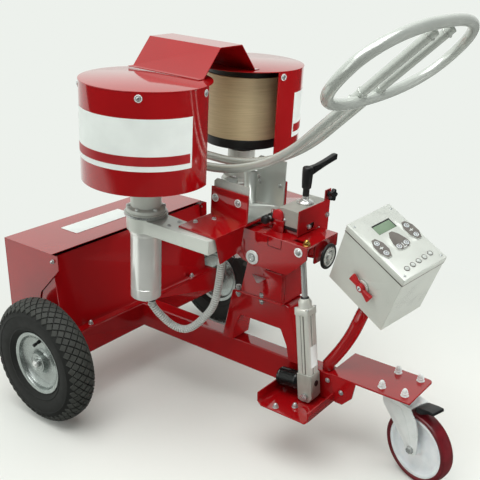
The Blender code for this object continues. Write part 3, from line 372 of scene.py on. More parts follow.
def smooth_path(points, steps):
    """Points of a Catmull-Rom curve through a short list of points."""
    points = [Vector(point) for point in points]
    padded = [points[0] * 2 - points[1]] + points + [points[-1] * 2 - points[-2]]
    path = []
    for a, b, c, d in zip(padded, padded[1:], padded[2:], padded[3:]):
        for i in range(steps):
            t = i / steps
            second, third = 2 * a - 5 * b + 4 * c - d, 3 * b - a - 3 * c + d
            path.append(0.5 * (2 * b + (c - a) * t + second * t ** 2 + third * t ** 3))
    return path + [points[-1]]


def ring_angles(count):
    return [tau * i / count for i in range(count)]


def arc(centre, radius, start, end, steps):
    """Points (a, b) on an arc, angles in degrees."""
    angles = [radians(start + (end - start) * i / steps) for i in range(steps + 1)]
    return [(centre[0] + radius * cos(angle), centre[1] + radius * sin(angle)) for angle in angles]


# %% [markdown]
# ## Pieces
# A finished piece keeps its place in its mesh, is shaded smooth up to an edge angle, rides on its body and
# may stand for a CAD node. Flat sheet parts keep their CAD form. Their copy is merged, because the CAD mesh
# is loose triangles, and shaded with weighted normals, so that flats stay flat and bevels look rolled.


# %% Piece helpers
def make_piece(name, shape, material, near, place=AT_REST, smooth=38.0):
    """A finished piece on the body of the CAD node that it belongs to."""
    bmesh.ops.transform(shape, matrix=place, verts=shape.verts)
    bmesh.ops.recalc_face_normals(shape, faces=shape.faces)
    mesh = bpy.data.meshes.new(name)
    shape.to_mesh(mesh)
    shape.free()
    mesh.materials.append(material)
    mesh.polygons.foreach_set("use_smooth", [True] * len(mesh.polygons))
    mesh.set_sharp_from_angle(angle=radians(smooth))
    piece = bpy.data.objects.new(name, mesh)
    bpy.context.scene.collection.objects.link(piece)
    body = nodes[near]["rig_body"]
    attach(piece, body)
    print(f"{name}: {len(mesh.polygons)} faces on {body}")
    return piece


def stand_in(node, name, shape, material, place=AT_REST, smooth=38.0):
    """A finished piece that is shown instead of a CAD node."""
    piece = make_piece(name, shape, material, node, place, smooth)
    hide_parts(node)
    return piece


def merged_copy(node):
    """The CAD node's mesh, which is loose triangles, as one connected shape."""
    shape = bmesh.new()
    shape.from_mesh(nodes[node].data)
    bmesh.ops.remove_doubles(shape, verts=shape.verts, dist=2e-6)
    return shape


def finish_node(node, material, smooth=38.0):
    """A merged copy of a CAD node that stands for it, with smooth bevels."""
    piece = stand_in(node, node + "_finished", merged_copy(node), material, smooth=smooth)
    piece.modifiers.new("flats stay flat", "WEIGHTED_NORMAL").keep_sharp = True


# %% [markdown]
# ## Sheet metal
# The frame, tower, yoke, tilt box, plates and battery box are sheet that was cut, folded, welded and then
# powder coated. The CAD solids already have their folds and bevels.

# %% Red and grey sheet parts
for node in (
        "base_frame", "tower", "tilt_yoke", "actuator_tray", "castor_bracket", "control_post",
        "battery_tray", "battery_lid", "tilt_box", "clamp_plate", "pan_plate", "bridge_guard"):
    finish_node(node, red_coat)
for node in ("motor_arm_left", "motor_arm_right", "control_box", "control_face"):
    finish_node(node, grey_coat)
finish_node("rail_bracket", silver_coat)
finish_node("battery_pack", battery_case)
finish_node("clamp_block", sand_cast)
finish_node("pan_bearing", ground_steel)

# %% [markdown]
# ## Fasteners
# The photograph shows plated cap nuts on washers, hexagon bolts, and button heads with a hexagon socket.
# Each is a turned part, some with a hexagon, made once for a thread size and set at every place.


# %% Fastener shapes
def washer(thread, height=0.2):
    radius, top = 1.1 * thread, height * thread
    return turned([(0.0, 0.0), (radius, 0.0), (radius, top), (0.0, top)], 28, 0.05 * thread, 1)


def hexagon(thread, low, high):
    return slab(arc((0.0, 0.0), 0.95 * thread, 0, 300, 5), low * thread, high * thread, 0.08 * thread)


def dome_nut(thread):
    dome = [(0.0, 0.85 * thread)] + arc((0.0, 0.95 * thread), 0.74 * thread, 0, 90, 7)
    return joined(washer(thread), hexagon(thread, 0.2, 0.95), turned(dome, 24))


def hex_bolt(thread):
    return joined(washer(thread), hexagon(thread, 0.2, 0.85))


def button_head(thread):
    head = [
        (0.0, 0.22), (0.3, 0.22), (0.33, 0.52), (0.44, 0.55), (0.6, 0.48), (0.78, 0.36), (0.84, 0.22),
        (0.84, 0.15), (0.0, 0.15)]
    head = [(radius * thread, height * thread) for radius, height in head]
    return joined(washer(thread), turned(head, 28))


DRUM_ACROSS, DRUM_AHEAD = 0.2097, 0.2728        # from the tilt bolt to a drum's axis
COVER_RADIUS = 0.1724


def drum_axis(side):
    return HEAD @ shift(side * DRUM_ACROSS, DRUM_AHEAD, 0.0)


def grid(xs, ys, z):
    return [(x, y, z) for x in xs for y in ys]


def facing(datum, direction, points):
    """A place at each point, with its own Z along the direction."""
    return [datum @ spot(point, direction) for point in points]


def fasten(name, shape, places, near, material=zinc):
    """Sets one fastener at each place on the body of a CAD node."""
    make_piece(name, repeated(shape, places), material, near, smooth=30)


def raised(shape, height):
    return moved(shape, shift(0.0, 0.0, height))


# %% Fasteners on the frame
castor_nut = joined(washer(0.01), hexagon(0.0085, 0.2, 0.9), raised(dome_nut(0.0085), 0.0072))
castor_places = facing(MACHINE, UPWARD, grid((-0.004, 0.09), (-0.958, -0.892), 0.2463))
fasten("castor_cap_nuts", castor_nut, castor_places, "castor_bracket", bright_zinc)
over_box = facing(MACHINE, UPWARD, grid((-0.235, 0.235), (-0.011,), 0.2425))
fasten("battery_box_cap_nuts", dome_nut(0.0075), over_box, "battery_tray")
under_box = facing(MACHINE, DOWNWARD, grid((-0.235, 0.235), (-0.011,), 0.157))
fasten("battery_box_bolts", hex_bolt(0.0075), under_box, "base_frame")
yoke_x, yoke_y = (-0.0545, 0.0545), (-0.449, -0.532)
yoke_bolt = joined(hexagon(0.008, 0.0, 0.9), raised(hex_bolt(0.008), 0.0068))
fasten("yoke_bolts", yoke_bolt, facing(MACHINE, UPWARD, grid(yoke_x, yoke_y, 0.4213)), "tilt_yoke")
yoke_nut = joined(hexagon(0.008, 0.0, 0.5), raised(dome_nut(0.008), 0.0036))
fasten("yoke_cap_nuts", yoke_nut, facing(MACHINE, DOWNWARD, grid(yoke_x, yoke_y, 0.4153)), "tilt_yoke")
tray_points = [(-0.11, -0.69, 0.1567), (-0.145, -0.65, 0.1567)]
fasten("tray_cap_nuts", dome_nut(0.008), facing(MACHINE, UPWARD, tray_points), "actuator_tray")
beam_points = [(-0.024, -0.738, 0.218), (-0.0308, -0.786, 0.2)]
fasten("beam_side_bolts", button_head(0.0065), facing(MACHINE, LEFTWARD, beam_points), "base_frame")
hinge_places = [MACHINE @ spot((side * 0.3327, 0.021, 0.473), (side, 0, 0)) for side in (-1, 1)]
fasten("lid_hinge_cap_nuts", dome_nut(0.006), hinge_places, "battery_tray")

# %% Fasteners on the heads
upright_places = [HEAD @ spot((side * 0.0921, y, w), (side, 0, 0))
                  for side in (-1, 1) for y, w in ((0.125, 0.144), (0.047, 0.147))]
fasten("upright_washers", washer(0.0104, 0.15), upright_places, "pan_plate", bright_zinc)
fasten("upright_screws", button_head(0.008), upright_places, "pan_plate")
ear_points = [(side * x, y, 0.0941) for side in (-1, 1) for x, y in ((0.1727, 0.125), (0.12, 0.104))]
fasten("ear_bolts", hex_bolt(0.0062), facing(HEAD, UPWARD, ear_points), "pan_plate")
arm_points = [
    (side * DRUM_ACROSS + x, DRUM_AHEAD - 0.105, 0.0874) for side in (-1, 1) for x in (-0.02, 0.02)]
fasten("arm_screws", button_head(0.006), facing(HEAD, UPWARD, arm_points), "motor_arm_left")
bracket_points = [(0.0817, 0.0334, 0.1587), (0.0817, 0.1084, 0.1706), (0.0817, 0.1038, 0.1566)]
fasten("bracket_screws", button_head(0.0055), facing(HEAD, LEFTWARD, bracket_points), "rail_bracket")
plate_points = [(0.016, -0.1124, 0.095), (0.106, -0.1124, 0.106), (0.106, -0.1124, 0.032)]
fasten("clamp_plate_bolts", hex_bolt(0.0066), facing(HEAD, REARWARD, plate_points), "clamp_plate")
block_place = facing(HEAD, LEFTWARD, [(-0.03, -0.063, 0.112)])
fasten("clamp_block_screw", button_head(0.0058), block_place, "clamp_block")
fasten("brass_union", dome_nut(0.0095), facing(HEAD, UPWARD, [(-0.06, -0.158, 0.0771)]), "tilt_box", brass)
cover_places = []
for side in (-1, 1):
    for step in (76.0, 135.5, 218.5, 284.0):
        angle = radians(step if side < 0 else 180.0 - step)
        around = Vector((cos(angle), sin(angle), 0.0))
        screw = COVER_RADIUS * around + Vector((0.0, 0.0, 0.443))
        cover_places.append(drum_axis(side) @ spot(screw, around))
fasten("cover_washers", washer(0.0088, 0.15), cover_places, "drum_cover_left", bright_zinc)
fasten("cover_screws", button_head(0.0068), cover_places, "drum_cover_left")

# %% [markdown]
# ## Road wheels
# The tyre is moulded rubber with diamond blocks that wrap over the shoulders, and a plain sidewall with two
# thin rings. The rim is pressed and rolled steel with a hub tube that holds two sealed bearings. The
# sidewall is spun, and one block is repeated round the crown, tilted to follow it.

# %% Tyre profile
HALF_TRACK, AXLE_HEIGHT = 0.408, 0.19
BEAD = 0.0936
TYRE_HALF = [
    (BEAD, 0.027), (0.0985, 0.0272), (0.104, 0.033), (0.108, 0.0372), (0.1098, 0.038), (0.1108, 0.0404),
    (0.114, 0.041), (0.1152, 0.0402), (0.124, 0.0434), (0.14, 0.0446), (0.15, 0.0438), (0.151, 0.045),
    (0.154, 0.0448), (0.1555, 0.043), (0.165, 0.0402), (0.174, 0.0342), (0.1815, 0.0252), (0.1855, 0.014),
    (0.1868, 0.0)]
BLOCK_ROWS = ((0.1869, 0.0, 0.0), (0.1856, 0.0138, 11.0), (0.1806, 0.0264, 33.0), (0.1716, 0.0362, 52.0))
BLOCKS_ROUND = 45


def tread_places():
    """A place for each block, by its row's radius, distance across and lean. Every other row is shifted."""
    for row, (radius, across, lean) in enumerate(BLOCK_ROWS):
        for side in ((1,) if row == 0 else (-1, 1)):
            for i in range(BLOCKS_ROUND):
                angle = tau * (i + 0.5 * (row % 2)) / BLOCKS_ROUND
                row_place = shift(radius, 0.0, side * across) @ rotation(90 - side * lean, "Y")
                yield Matrix.Rotation(angle, 4, "Z") @ row_place


def tread_block():
    """A diamond block with rounded edges, its own Z outwards."""
    return slab([(-0.0114, 0.0), (0.0, -0.0112), (0.0114, 0.0), (0.0, 0.0112)], -0.004, 0.0029, 0.0008, 1)


# %% Rim and valve profiles
RIM_HALF = [
    (0.0932, 0.0262), (0.0945, 0.0268), (0.0965, 0.0278), (0.0972, 0.029), (0.0968, 0.0302),
    (0.0955, 0.0308), (0.0935, 0.0304), (0.088, 0.0288), (0.0856, 0.0276), (0.0846, 0.0256), (0.084, 0.019),
    (0.0825, 0.016), (0.079, 0.0136), (0.072, 0.0092), (0.062, 0.0062), (0.045, 0.0056), (0.038, 0.0066),
    (0.033, 0.0092), (0.0306, 0.0118), (0.03, 0.014), (0.03, 0.0272), (0.0292, 0.028), (0.0262, 0.028),
    (0.0256, 0.0266), (0.0222, 0.0262), (0.0216, 0.0274), (0.0172, 0.0274), (0.0166, 0.0262),
    (0.013, 0.0262), (0.0124, 0.0276), (0.0106, 0.0279)]
VALVE = [
    (0.0, -0.004), (0.006, -0.004), (0.0054, 0.014), (0.0036, 0.015), (0.0036, 0.018), (0.005, 0.0185),
    (0.005, 0.029), (0.004, 0.0305), (0.0, 0.0305)]

# %% Make both wheels
for side, name in ((-1, "left"), (1, "right")):
    wheel = MACHINE @ shift(side * HALF_TRACK, 0.0, AXLE_HEIGHT)
    if side < 0:
        wheel = wheel @ rotation(180, "Z")
    wheel = wheel @ ALONG_X
    tyre = "tyre_" + name
    stand_in(tyre, "tyre_casing_" + name, turned(both_ends(TYRE_HALF), 108), tyre_rubber, wheel, 50)
    make_piece("tyre_tread_" + name, repeated(tread_block(), tread_places()), tread_rubber, tyre, wheel, 30)
    stand_in("rim_" + name, "rim_steel_" + name, turned(both_ends(RIM_HALF), 96), shaded_dish_zinc, wheel, 32)
    valve = turned(VALVE, 20, 0.0003, 1)
    lean = shift(0.0, 0.067, 0.006) @ rotation(14, "X")
    make_piece("valve_" + name, moved(valve, lean), black_nylon, tyre, wheel)
AXLE_HALF = [
    (0.0, 0.4476), (0.0052, 0.4474), (0.006, 0.4468), (0.0062, 0.4462), (0.0092, 0.446), (0.0112, 0.4446),
    (0.0118, 0.442), (0.0118, 0.4368), (0.01, 0.4366), (0.01, 0.3796), (0.0143, 0.3794), (0.0145, 0.3788),
    (0.0145, 0.355), (0.0143, 0.3545), (0.01, 0.3543)]
axle_line = MACHINE @ shift(0.0, 0.0, AXLE_HEIGHT) @ ALONG_X
stand_in("axle", "axle_finished", turned(both_ends(AXLE_HALF), 48), ground_steel, axle_line, 30)

# %% [markdown]
# ## Drums, covers and motors
# Each drum is a black machined core with a ground polyurethane band. The cover is rolled sheet, open
# towards the ball, under a flat lid whose edge stands out a little. All are spun with fine steps, since
# their outlines are large circles.

# %% Drum profiles
CORE = [
    (0.0, 0.1577), (0.0138, 0.1577), (0.0148, 0.1587), (0.0148, 0.2216), (0.118, 0.222), (0.119, 0.2232),
    (0.119, 0.247), (0.1184, 0.248), (0.107, 0.249), (0.107, 0.433), (0.1184, 0.434), (0.119, 0.435),
    (0.119, 0.4468), (0.118, 0.448), (0.09, 0.448), (0.0885, 0.4455), (0.042, 0.4455), (0.04, 0.448),
    (0.03, 0.448), (0.03, 0.4522), (0.029, 0.453), (0.0, 0.453)]
BAND = [(0.1073, 0.25), (0.1194, 0.25), (0.12, 0.2508), (0.12, 0.4312), (0.1194, 0.432), (0.1073, 0.432)]
WALL = [
    (0.1699, 0.1977), (0.1702, 0.1972), (0.1712, 0.197), (0.1722, 0.1972), (0.1724, 0.198),
    (0.1724, 0.4575), (0.1699, 0.4575)]
LID = [
    (0.0, 0.4573), (0.1728, 0.4573), (0.1733, 0.4577), (0.1734, 0.4586), (0.1731, 0.4595), (0.172, 0.4598),
    (0.0, 0.4598)]
HOUSING = [
    (0.0152, 0.0882), (0.0575, 0.0882), (0.0585, 0.0892), (0.0585, 0.099), (0.0577, 0.1), (0.0552, 0.1004),
    (0.0545, 0.1012), (0.0545, 0.109), (0.0538, 0.1106), (0.052, 0.112), (0.045, 0.114), (0.043, 0.115),
    (0.0425, 0.117), (0.0425, 0.1958), (0.0418, 0.1966), (0.0152, 0.1966)]
MOTOR = [
    (0.0, -0.164), (0.036, -0.164), (0.0375, -0.1636), (0.042, -0.16), (0.0432, -0.1588), (0.0435, -0.157),
    (0.0435, -0.129), (0.0429, -0.1284), (0.0429, -0.1272), (0.0435, -0.1266), (0.0435, 0.03),
    (0.0429, 0.0306), (0.0429, 0.0318), (0.0435, 0.0324), (0.0436, 0.0352), (0.046, 0.0372),
    (0.0465, 0.038), (0.0465, 0.047), (0.0458, 0.0477), (0.0, 0.0477)]

# %% Make both drum sides
for side, name in ((-1, "left"), (1, "right")):
    drum = drum_axis(side)
    open_side = 0.0 if side < 0 else pi
    fixed = "drum_cover_" + name
    stand_in("drum_core_" + name, "drum_core_turned_" + name, turned(CORE, 120), black_nylon, drum, 30)
    stand_in("drum_band_" + name, "drum_band_ground_" + name, turned(BAND, 120), tan_urethane, drum, 30)
    wall = turned(WALL, 96, turn=radians(220), start=open_side + radians(70))
    cover = joined(wall, turned(LID, 144))
    stand_in(fixed, "drum_cover_rolled_" + name, cover, red_coat, drum, 30)
    housing = turned(HOUSING, 72)
    stand_in("bearing_housing_" + name, "bearing_housing_turned_" + name, housing, grey_coat, drum, 30)
    collar = turned([(0.0586, 0.0905), (0.0602, 0.0912), (0.0602, 0.0968), (0.0586, 0.0975)], 72)
    make_piece("collar_" + name, collar, zinc, fixed, drum, 30)
    bolts = [rotation(angle, "Z") @ spot((0.0488, 0.0, 0.1126), UPWARD) for angle in range(15, 360, 60)]
    make_piece("housing_screws_" + name, repeated(hex_bolt(0.0056), bolts), bright_zinc, fixed, drum, 30)
    stand_in("motor_" + name, "motor_turned_" + name, turned(MOTOR, 84), turned_aluminium, drum, 30)
    ends = [rotation(angle, "Z") @ spot((0.033, 0.0, -0.164), DOWNWARD) for angle in (45, 135, 225, 315)]
    make_piece("motor_end_screws_" + name, repeated(button_head(0.0042), ends), zinc, fixed, drum, 30)


# %% Plain labels
def curved_label(radius, start, end, low, high):
    """A thin plate that follows a cover's wall, angles in degrees."""
    inside, outside = radius + 0.0002, radius + 0.0004
    edge = [(inside, low), (outside, low), (outside, high), (inside, high)]
    return turned(edge, 40, turn=radians(end - start), start=radians(start))


for side, name, start in ((-1, "", 140), (1, "_right", -86)):
    drum = drum_axis(side)
    label = curved_label(COVER_RADIUS, start, start + 126, 0.262, 0.3935)
    make_piece("cover_label" + name, label, label_film, "drum_cover_left", drum)
    bar_strip = curved_label(COVER_RADIUS + 0.0004, start + 2, start + 124, 0.276, 0.3)
    make_piece("cover_label_bar" + name, bar_strip, label_red, "drum_cover_left", drum)

# %% Plain strip on the battery box
strip = block((-0.17, 0.105, 0.4946), (0.078, 0.183, 0.495))
make_piece("battery_lid_strip", strip, label_film, "battery_lid", MACHINE)

# %% [markdown]
# ## Ball guide
# Steel tube bent on a mandrel: two rails that carry the ball down to the drums, welded to a wide oval hoop
# that guards it. The tubes follow arcs and a rounded oval, and each joint shows a small weld bead.


# %% Tubes and welds
def hoop_point(angle):
    """A point of the rounded oval, half width and half height in metres, leaning back on the rails."""
    half_width, half_height, squareness, lean = 0.281, 0.13, 2 / 2.39, radians(49.5)
    across, rising = cos(angle), sin(angle)
    across = half_width * copysign(abs(across) ** squareness, across)
    rising = half_height * copysign(abs(rising) ** squareness, rising)
    return (across, -0.338 - rising * cos(lean), 0.5644 + rising * sin(lean))


RAIL_X = (-0.045, 0.045)
bend = arc((0.23, 0.705), 0.5, -90, -135, 28)
rail_line = [(0.3, 0.205)] + bend + [(-0.418, bend[-1][1] + bend[-1][0] + 0.418)]
tubes = [bar([hoop_point(angle) for angle in ring_angles(168)], 0.014, 8, cyclic=True)]
tubes += [bar([(x, y, z) for y, z in rail_line], 0.0122, 8) for x in RAIL_X]
stand_in("ball_guide", "ball_guide_tubes", joined(*tubes), silver_coat, HEAD, 50)
up_the_rail = Vector((0.0, -1.0, 1.0)).normalized()
circle = [(0.0128 * cos(t), 0.0128 * sin(t), 0.0) for t in ring_angles(48)]
ripple = [1.0 + 0.22 * sin(i * pi / 2) for i in range(48)]
beads = []
for x in RAIL_X:
    for y, z in ((-0.2395, 0.4674), (-0.262, 0.4899), (-0.407, 0.6349)):
        beads.append(moved(bar(circle, 0.0022, 3, True, ripple), spot((x, y, z), up_the_rail)))
make_piece("ball_guide_welds", joined(*beads), silver_coat, "ball_guide", HEAD, 60)

# %% [markdown]
# ## Ribbed hose
# Corrugated polyamide hose round the left motor's cable: a dark grey core along the route, which is painted
# shade in the valleys, with one light ring per rib, and a black gland at each end. Three short black leads
# run down beside it.


# %% Hose
def even_path(points, count):
    """The same path with evenly spaced points."""
    points = [Vector(point) for point in points]
    travelled = [0.0]
    for a, b in zip(points, points[1:]):
        travelled.append(travelled[-1] + (b - a).length)
    path, segment = [], 0
    for i in range(count + 1):
        target = travelled[-1] * i / count
        while segment < len(points) - 2 and travelled[segment + 1] < target:
            segment += 1
        span = travelled[segment + 1] - travelled[segment]
        path.append(points[segment].lerp(points[segment + 1], (target - travelled[segment]) / span))
    return path


HOSE_RIBS = 78
hose_start, hose_end = Vector((-0.199, 0.2608, -0.1643)), Vector((-0.104, 0.078, 0.0877))
to_head = HEAD.inverted() @ MACHINE
sag = [
    (-0.186, -0.262, 0.335), (-0.16, -0.292, 0.296), (-0.143, -0.33, 0.292), (-0.126, -0.372, 0.33),
    (-0.11, -0.41, 0.4)]
sag = [to_head @ Vector(point) for point in sag]
straight = Vector((0.0, 0.0, 0.02464))
route = smooth_path([hose_start - straight] + sag + [hose_end - 2 * straight, hose_end - straight], 12)
route = even_path([hose_start] + route + [hose_end], HOSE_RIBS * 4)
# The core is dark grey: painted shade in the valleys between the light ribs.
stand_in("motor_conduit", "ribbed_hose_core_painted_shade", bar(route, 0.0092, 5), pad_film_and_shade, HEAD, 60)
RIB = [
    (0.0088, -0.0026), (0.0104, -0.0025), (0.0112, -0.0016), (0.0112, 0.0016), (0.0104, 0.0025),
    (0.0088, 0.0026)]
rib_places = [spot(route[i], route[i + 1] - route[i - 1]) for i in range(2, len(route) - 1, 4)]
make_piece("hose_ribs", repeated(turned(RIB, 20), rib_places), grey_hose, "motor_conduit", HEAD, 50)
GLAND = [(0.0, 0.0), (0.015, 0.0), (0.015, 0.004), (0.0135, 0.012), (0.0118, 0.0135), (0.0, 0.0135)]
gland_nut = slab(arc((0.0, 0.0), 0.0172, 0, 300, 5), 0.0, 0.0075, 0.0008)
gland = joined(turned(GLAND, 32, 0.0006), gland_nut)
gland_places = [spot(hose_start, DOWNWARD), spot(hose_end, DOWNWARD)]
make_piece("hose_glands", repeated(gland, gland_places), black_nylon, "motor_conduit", HEAD, 30)
leads = [
    [(-0.098, 0.085, 0.086), (-0.101, 0.072, 0.052), (-0.102, 0.054, 0.022), (-0.101, 0.05, 0.002),
     (-0.1, 0.043, -0.008)],
    [(-0.098, 0.074, 0.086), (-0.102, 0.06, 0.042), (-0.103, 0.066, 0.012), (-0.101, 0.052, -0.01),
     (-0.1, 0.046, -0.024)],
    [(-0.095, 0.066, 0.086), (-0.1, 0.078, 0.038), (-0.101, 0.07, 0.006), (-0.1, 0.056, -0.014)]]
leads = joined(*(bar(smooth_path(path, 8), 0.0019, 4) for path in leads))
make_piece("black_leads", leads, black_nylon, "pan_plate", HEAD, 60)

# %% [markdown]
# ## Tilt joint, clamp and indexing parts
# Turned, plated and moulded small parts: the tilt bolt under wide washers, the clamping lever with its
# steel foot, a five-lobed knob, a spring plunger and the rubber-rimmed disc at the rear. Turned parts are
# spun from their profile, and the lever's arm is a bevelled slab.

# %% Tilt bolt and pins
TILT_BOLT = [
    (0.0, 0.0822), (0.0048, 0.0822), (0.0056, 0.0835), (0.0092, 0.0835), (0.01, 0.0828), (0.0104, 0.08),
    (0.0122, 0.0797), (0.0124, 0.0812), (0.0165, 0.0808), (0.0196, 0.0794), (0.02, 0.0786), (0.02, 0.0766),
    (0.0196, 0.0763), (0.0086, 0.0763)]
stand_in("tilt_bolt", "tilt_bolt_turned", turned(both_ends(TILT_BOLT), 56), zinc, HEAD @ ALONG_X, 30)
WIDE_WASHER = [
    (0.0122, 0.08), (0.0126, 0.0815), (0.0165, 0.0812), (0.0198, 0.0798), (0.0203, 0.0788),
    (0.0203, 0.0765), (0.0122, 0.0765)]
washers = repeated(turned(WIDE_WASHER, 56), [AT_REST, Matrix.Diagonal((1, 1, -1, 1))])
make_piece("tilt_bolt_washers", washers, bright_zinc, "tilt_bolt", HEAD @ ALONG_X, 30)
for node in ("actuator_pin", "actuator_foot_pin", "castor_plate"):
    finish_node(node, zinc)
pin_ends = [HEAD @ spot((side * 0.0765, -0.1452, 0.0577), (side, 0, 0)) for side in (-1, 1)]
fasten("actuator_pin_washers", washer(0.0118, 0.12), pin_ends, "tilt_box", bright_zinc)

# %% Clamping lever
seat = HEAD @ shift(0.046, -0.0765, 0.146)
stem = [
    (0.0, 0.0205), (0.0088, 0.0205), (0.009, 0.021), (0.009, 0.0425), (0.0118, 0.0428), (0.0128, 0.044),
    (0.0138, 0.06), (0.0148, 0.084), (0.0148, 0.094), (0.0142, 0.0985), (0.0126, 0.1012), (0.0104, 0.1022),
    (0.0066, 0.1024), (0.006, 0.1006), (0.0, 0.1004)]
arm = [
    (-0.0105, 0.078), (0.015, 0.0785), (0.032, 0.085), (0.064, 0.0965), (0.096, 0.106), (0.104, 0.1075),
    (0.1055, 0.124), (0.095, 0.1235), (0.06, 0.112), (0.03, 0.104), (0.012, 0.1022), (-0.0105, 0.1015)]
arm = slab(arm, -0.0078, 0.0078, 0.0032, 3, rotation(-11.9, "Z") @ ALONG_Y)
stand_in("clamp_lever", "clamp_lever_grip", joined(turned(stem, 48), arm), black_nylon, seat, 40)
foot = [
    (0.0, 0.0003), (0.0225, 0.0003), (0.023, 0.0008), (0.023, 0.004), (0.022, 0.0052), (0.0125, 0.011),
    (0.01, 0.012), (0.0094, 0.014), (0.0094, 0.0205), (0.0, 0.0205)]
make_piece("clamp_lever_foot", turned(foot, 48), ground_steel, "clamp_lever", seat, 30)

# %% Star knob, plunger and crank disc
lobes = [(0.015 + 0.0028 * cos(5 * t), t) for t in ring_angles(90)]
star = slab([(radius * cos(t), radius * sin(t)) for radius, t in lobes], -0.02, -0.008, 0.0026, 4)
neck = [(0.0, -0.009), (0.0085, -0.009), (0.0075, -0.005), (0.0075, -0.0003), (0.0, -0.0003)]
knob = joined(star, turned(neck, 32))
knob_place = HEAD @ shift(0.104, -0.1126, 0.167) @ ALONG_Y
stand_in("star_knob", "star_knob_moulded", knob, black_nylon, knob_place, 45)

plunger = HEAD @ shift(0.0, -0.012, 0.104) @ ALONG_X
grip = [
    (0.0, -0.052), (0.0088, -0.052), (0.0108, -0.0508), (0.0118, -0.0488), (0.012, -0.047), (0.012, -0.038),
    (0.0114, -0.0364), (0.0092, -0.0344), (0.0084, -0.0332), (0.0, -0.033)]
stand_in("index_plunger", "plunger_grip", turned(grip, 48), black_nylon, plunger, 35)
pin = [
    (0.0, -0.0335), (0.0066, -0.0335), (0.007, -0.033), (0.007, -0.0245), (0.0064, -0.0238),
    (0.005, -0.0232), (0.005, 0.02), (0.0042, 0.0216), (0.0, 0.022)]
make_piece("plunger_pin", turned(pin, 40), ground_steel, "index_plunger", plunger, 30)
ridges = [(0.0118 + 0.0006 * (i % 2), t) for i, t in enumerate(ring_angles(72))]
sleeve = slab([(radius * cos(t), radius * sin(t)) for radius, t in ridges], -0.02, -0.008, 0.0003, 1)
neck = [
    (0.0056, -0.021), (0.01, -0.021), (0.0106, -0.0204), (0.0106, -0.006), (0.0086, -0.005),
    (0.0086, -0.0003), (0.0056, -0.0003)]
sleeve = joined(sleeve, turned(neck, 40))
make_piece("plunger_sleeve", sleeve, black_nylon, "tilt_box", plunger, 30)
ring = [(0.0068 * cos(t), 0.0068 * sin(t), 0.0004 * sin(2 * t)) for t in ring_angles(48)]
ring_place = HEAD @ spot((-0.015, -0.016, 0.1205), (0.4, -0.8, 0.3))
ring = bar(ring, 0.0008, 3, cyclic=True)
make_piece("plunger_split_ring", ring, ground_steel, "tilt_box", ring_place, 60)

crank = HEAD @ shift(0.016, -0.17, 0.03) @ ALONG_Y
dish = [
    (0.0, -0.0003), (0.0095, -0.0003), (0.01, -0.001), (0.01, -0.0078), (0.029, -0.008), (0.029, -0.014),
    (0.0272, -0.0156), (0.0255, -0.0148), (0.0235, -0.0128), (0.014, -0.0126), (0.0122, -0.014),
    (0.0108, -0.0176), (0.0094, -0.0192), (0.005, -0.0203), (0.0, -0.0205)]
stand_in("crank_disc", "crank_dish", turned(dish, 64), ground_steel, crank, 40)
tyre = [
    (0.0286, -0.0078), (0.0335, -0.0076), (0.0353, -0.0086), (0.036, -0.0104), (0.036, -0.013),
    (0.0352, -0.0148), (0.0334, -0.016), (0.03, -0.0165), (0.0284, -0.0158)]
make_piece("crank_rubber_rim", turned(tyre, 72), black_nylon, "crank_disc", crank, 50)

# %% Small parts of the tilting head
stop = [(-0.03, 0.112), (-0.062, 0.112)] + arc((-0.046, 0.124), 0.016, 180, 0, 10)
stop_place = HEAD @ ALONG_X
make_piece("red_stop", slab(stop, -0.0385, -0.0303, 0.0016, 3), red_nylon, "tilt_box", stop_place, 40)
lug = [(-0.034, 0.0775), (-0.066, 0.0775), (-0.066, 0.1115), (-0.034, 0.1115)]
make_piece("stop_lug", slab(lug, -0.037, -0.0305, 0.0008), red_coat, "tilt_box", stop_place)
pad = [(-0.1085, 0.0887), (-0.0445, 0.0887), (-0.0445, 0.0982), (-0.1085, 0.0982)]
make_piece("clamp_pad", slab(pad, -0.0304, 0.077, 0.0006), black_nylon, "tilt_box", stop_place)
# A dark red line along the bend relief of the tilt box: painted shade in the narrow cut.
relief = arc((-0.052, 0.054), 0.005, 0, -90, 5) + arc((-0.085, 0.054), 0.005, -90, -180, 5)
relief = [(-0.0764, a, b) for a, b in [(-0.047, 0.0745)] + relief + [(-0.09, 0.0745)]]
make_piece("bend_relief_painted_shade", bar(relief, 0.0009, 3), painted_shade_red, "tilt_box", HEAD, 60)
cheeks = [
    block((side * 0.049 - 0.0092, -0.5985, 0.419), (side * 0.049 + 0.0092, -0.5355, 0.5075), 0.0015)
    for side in (-1, 1)]
make_piece("yoke_cheeks", joined(*cheeks), red_coat, "tilt_yoke", MACHINE)
bracket = slab([(-0.0583, -0.5), (-0.0583, -0.545), (-0.09, -0.548), (-0.093, -0.54)], 0.48, 0.483, 0.0005)
make_piece("cable_bracket", bracket, zinc, "tilt_yoke", MACHINE)

# %% [markdown]
# ## Lift actuator
# A cast gear housing, an extruded square tube with grooves, a cast end cap, a ribbed black motor and a
# chromed rod through a wiper seal. The castings come from the CAD solid, the motor and seal are turned.

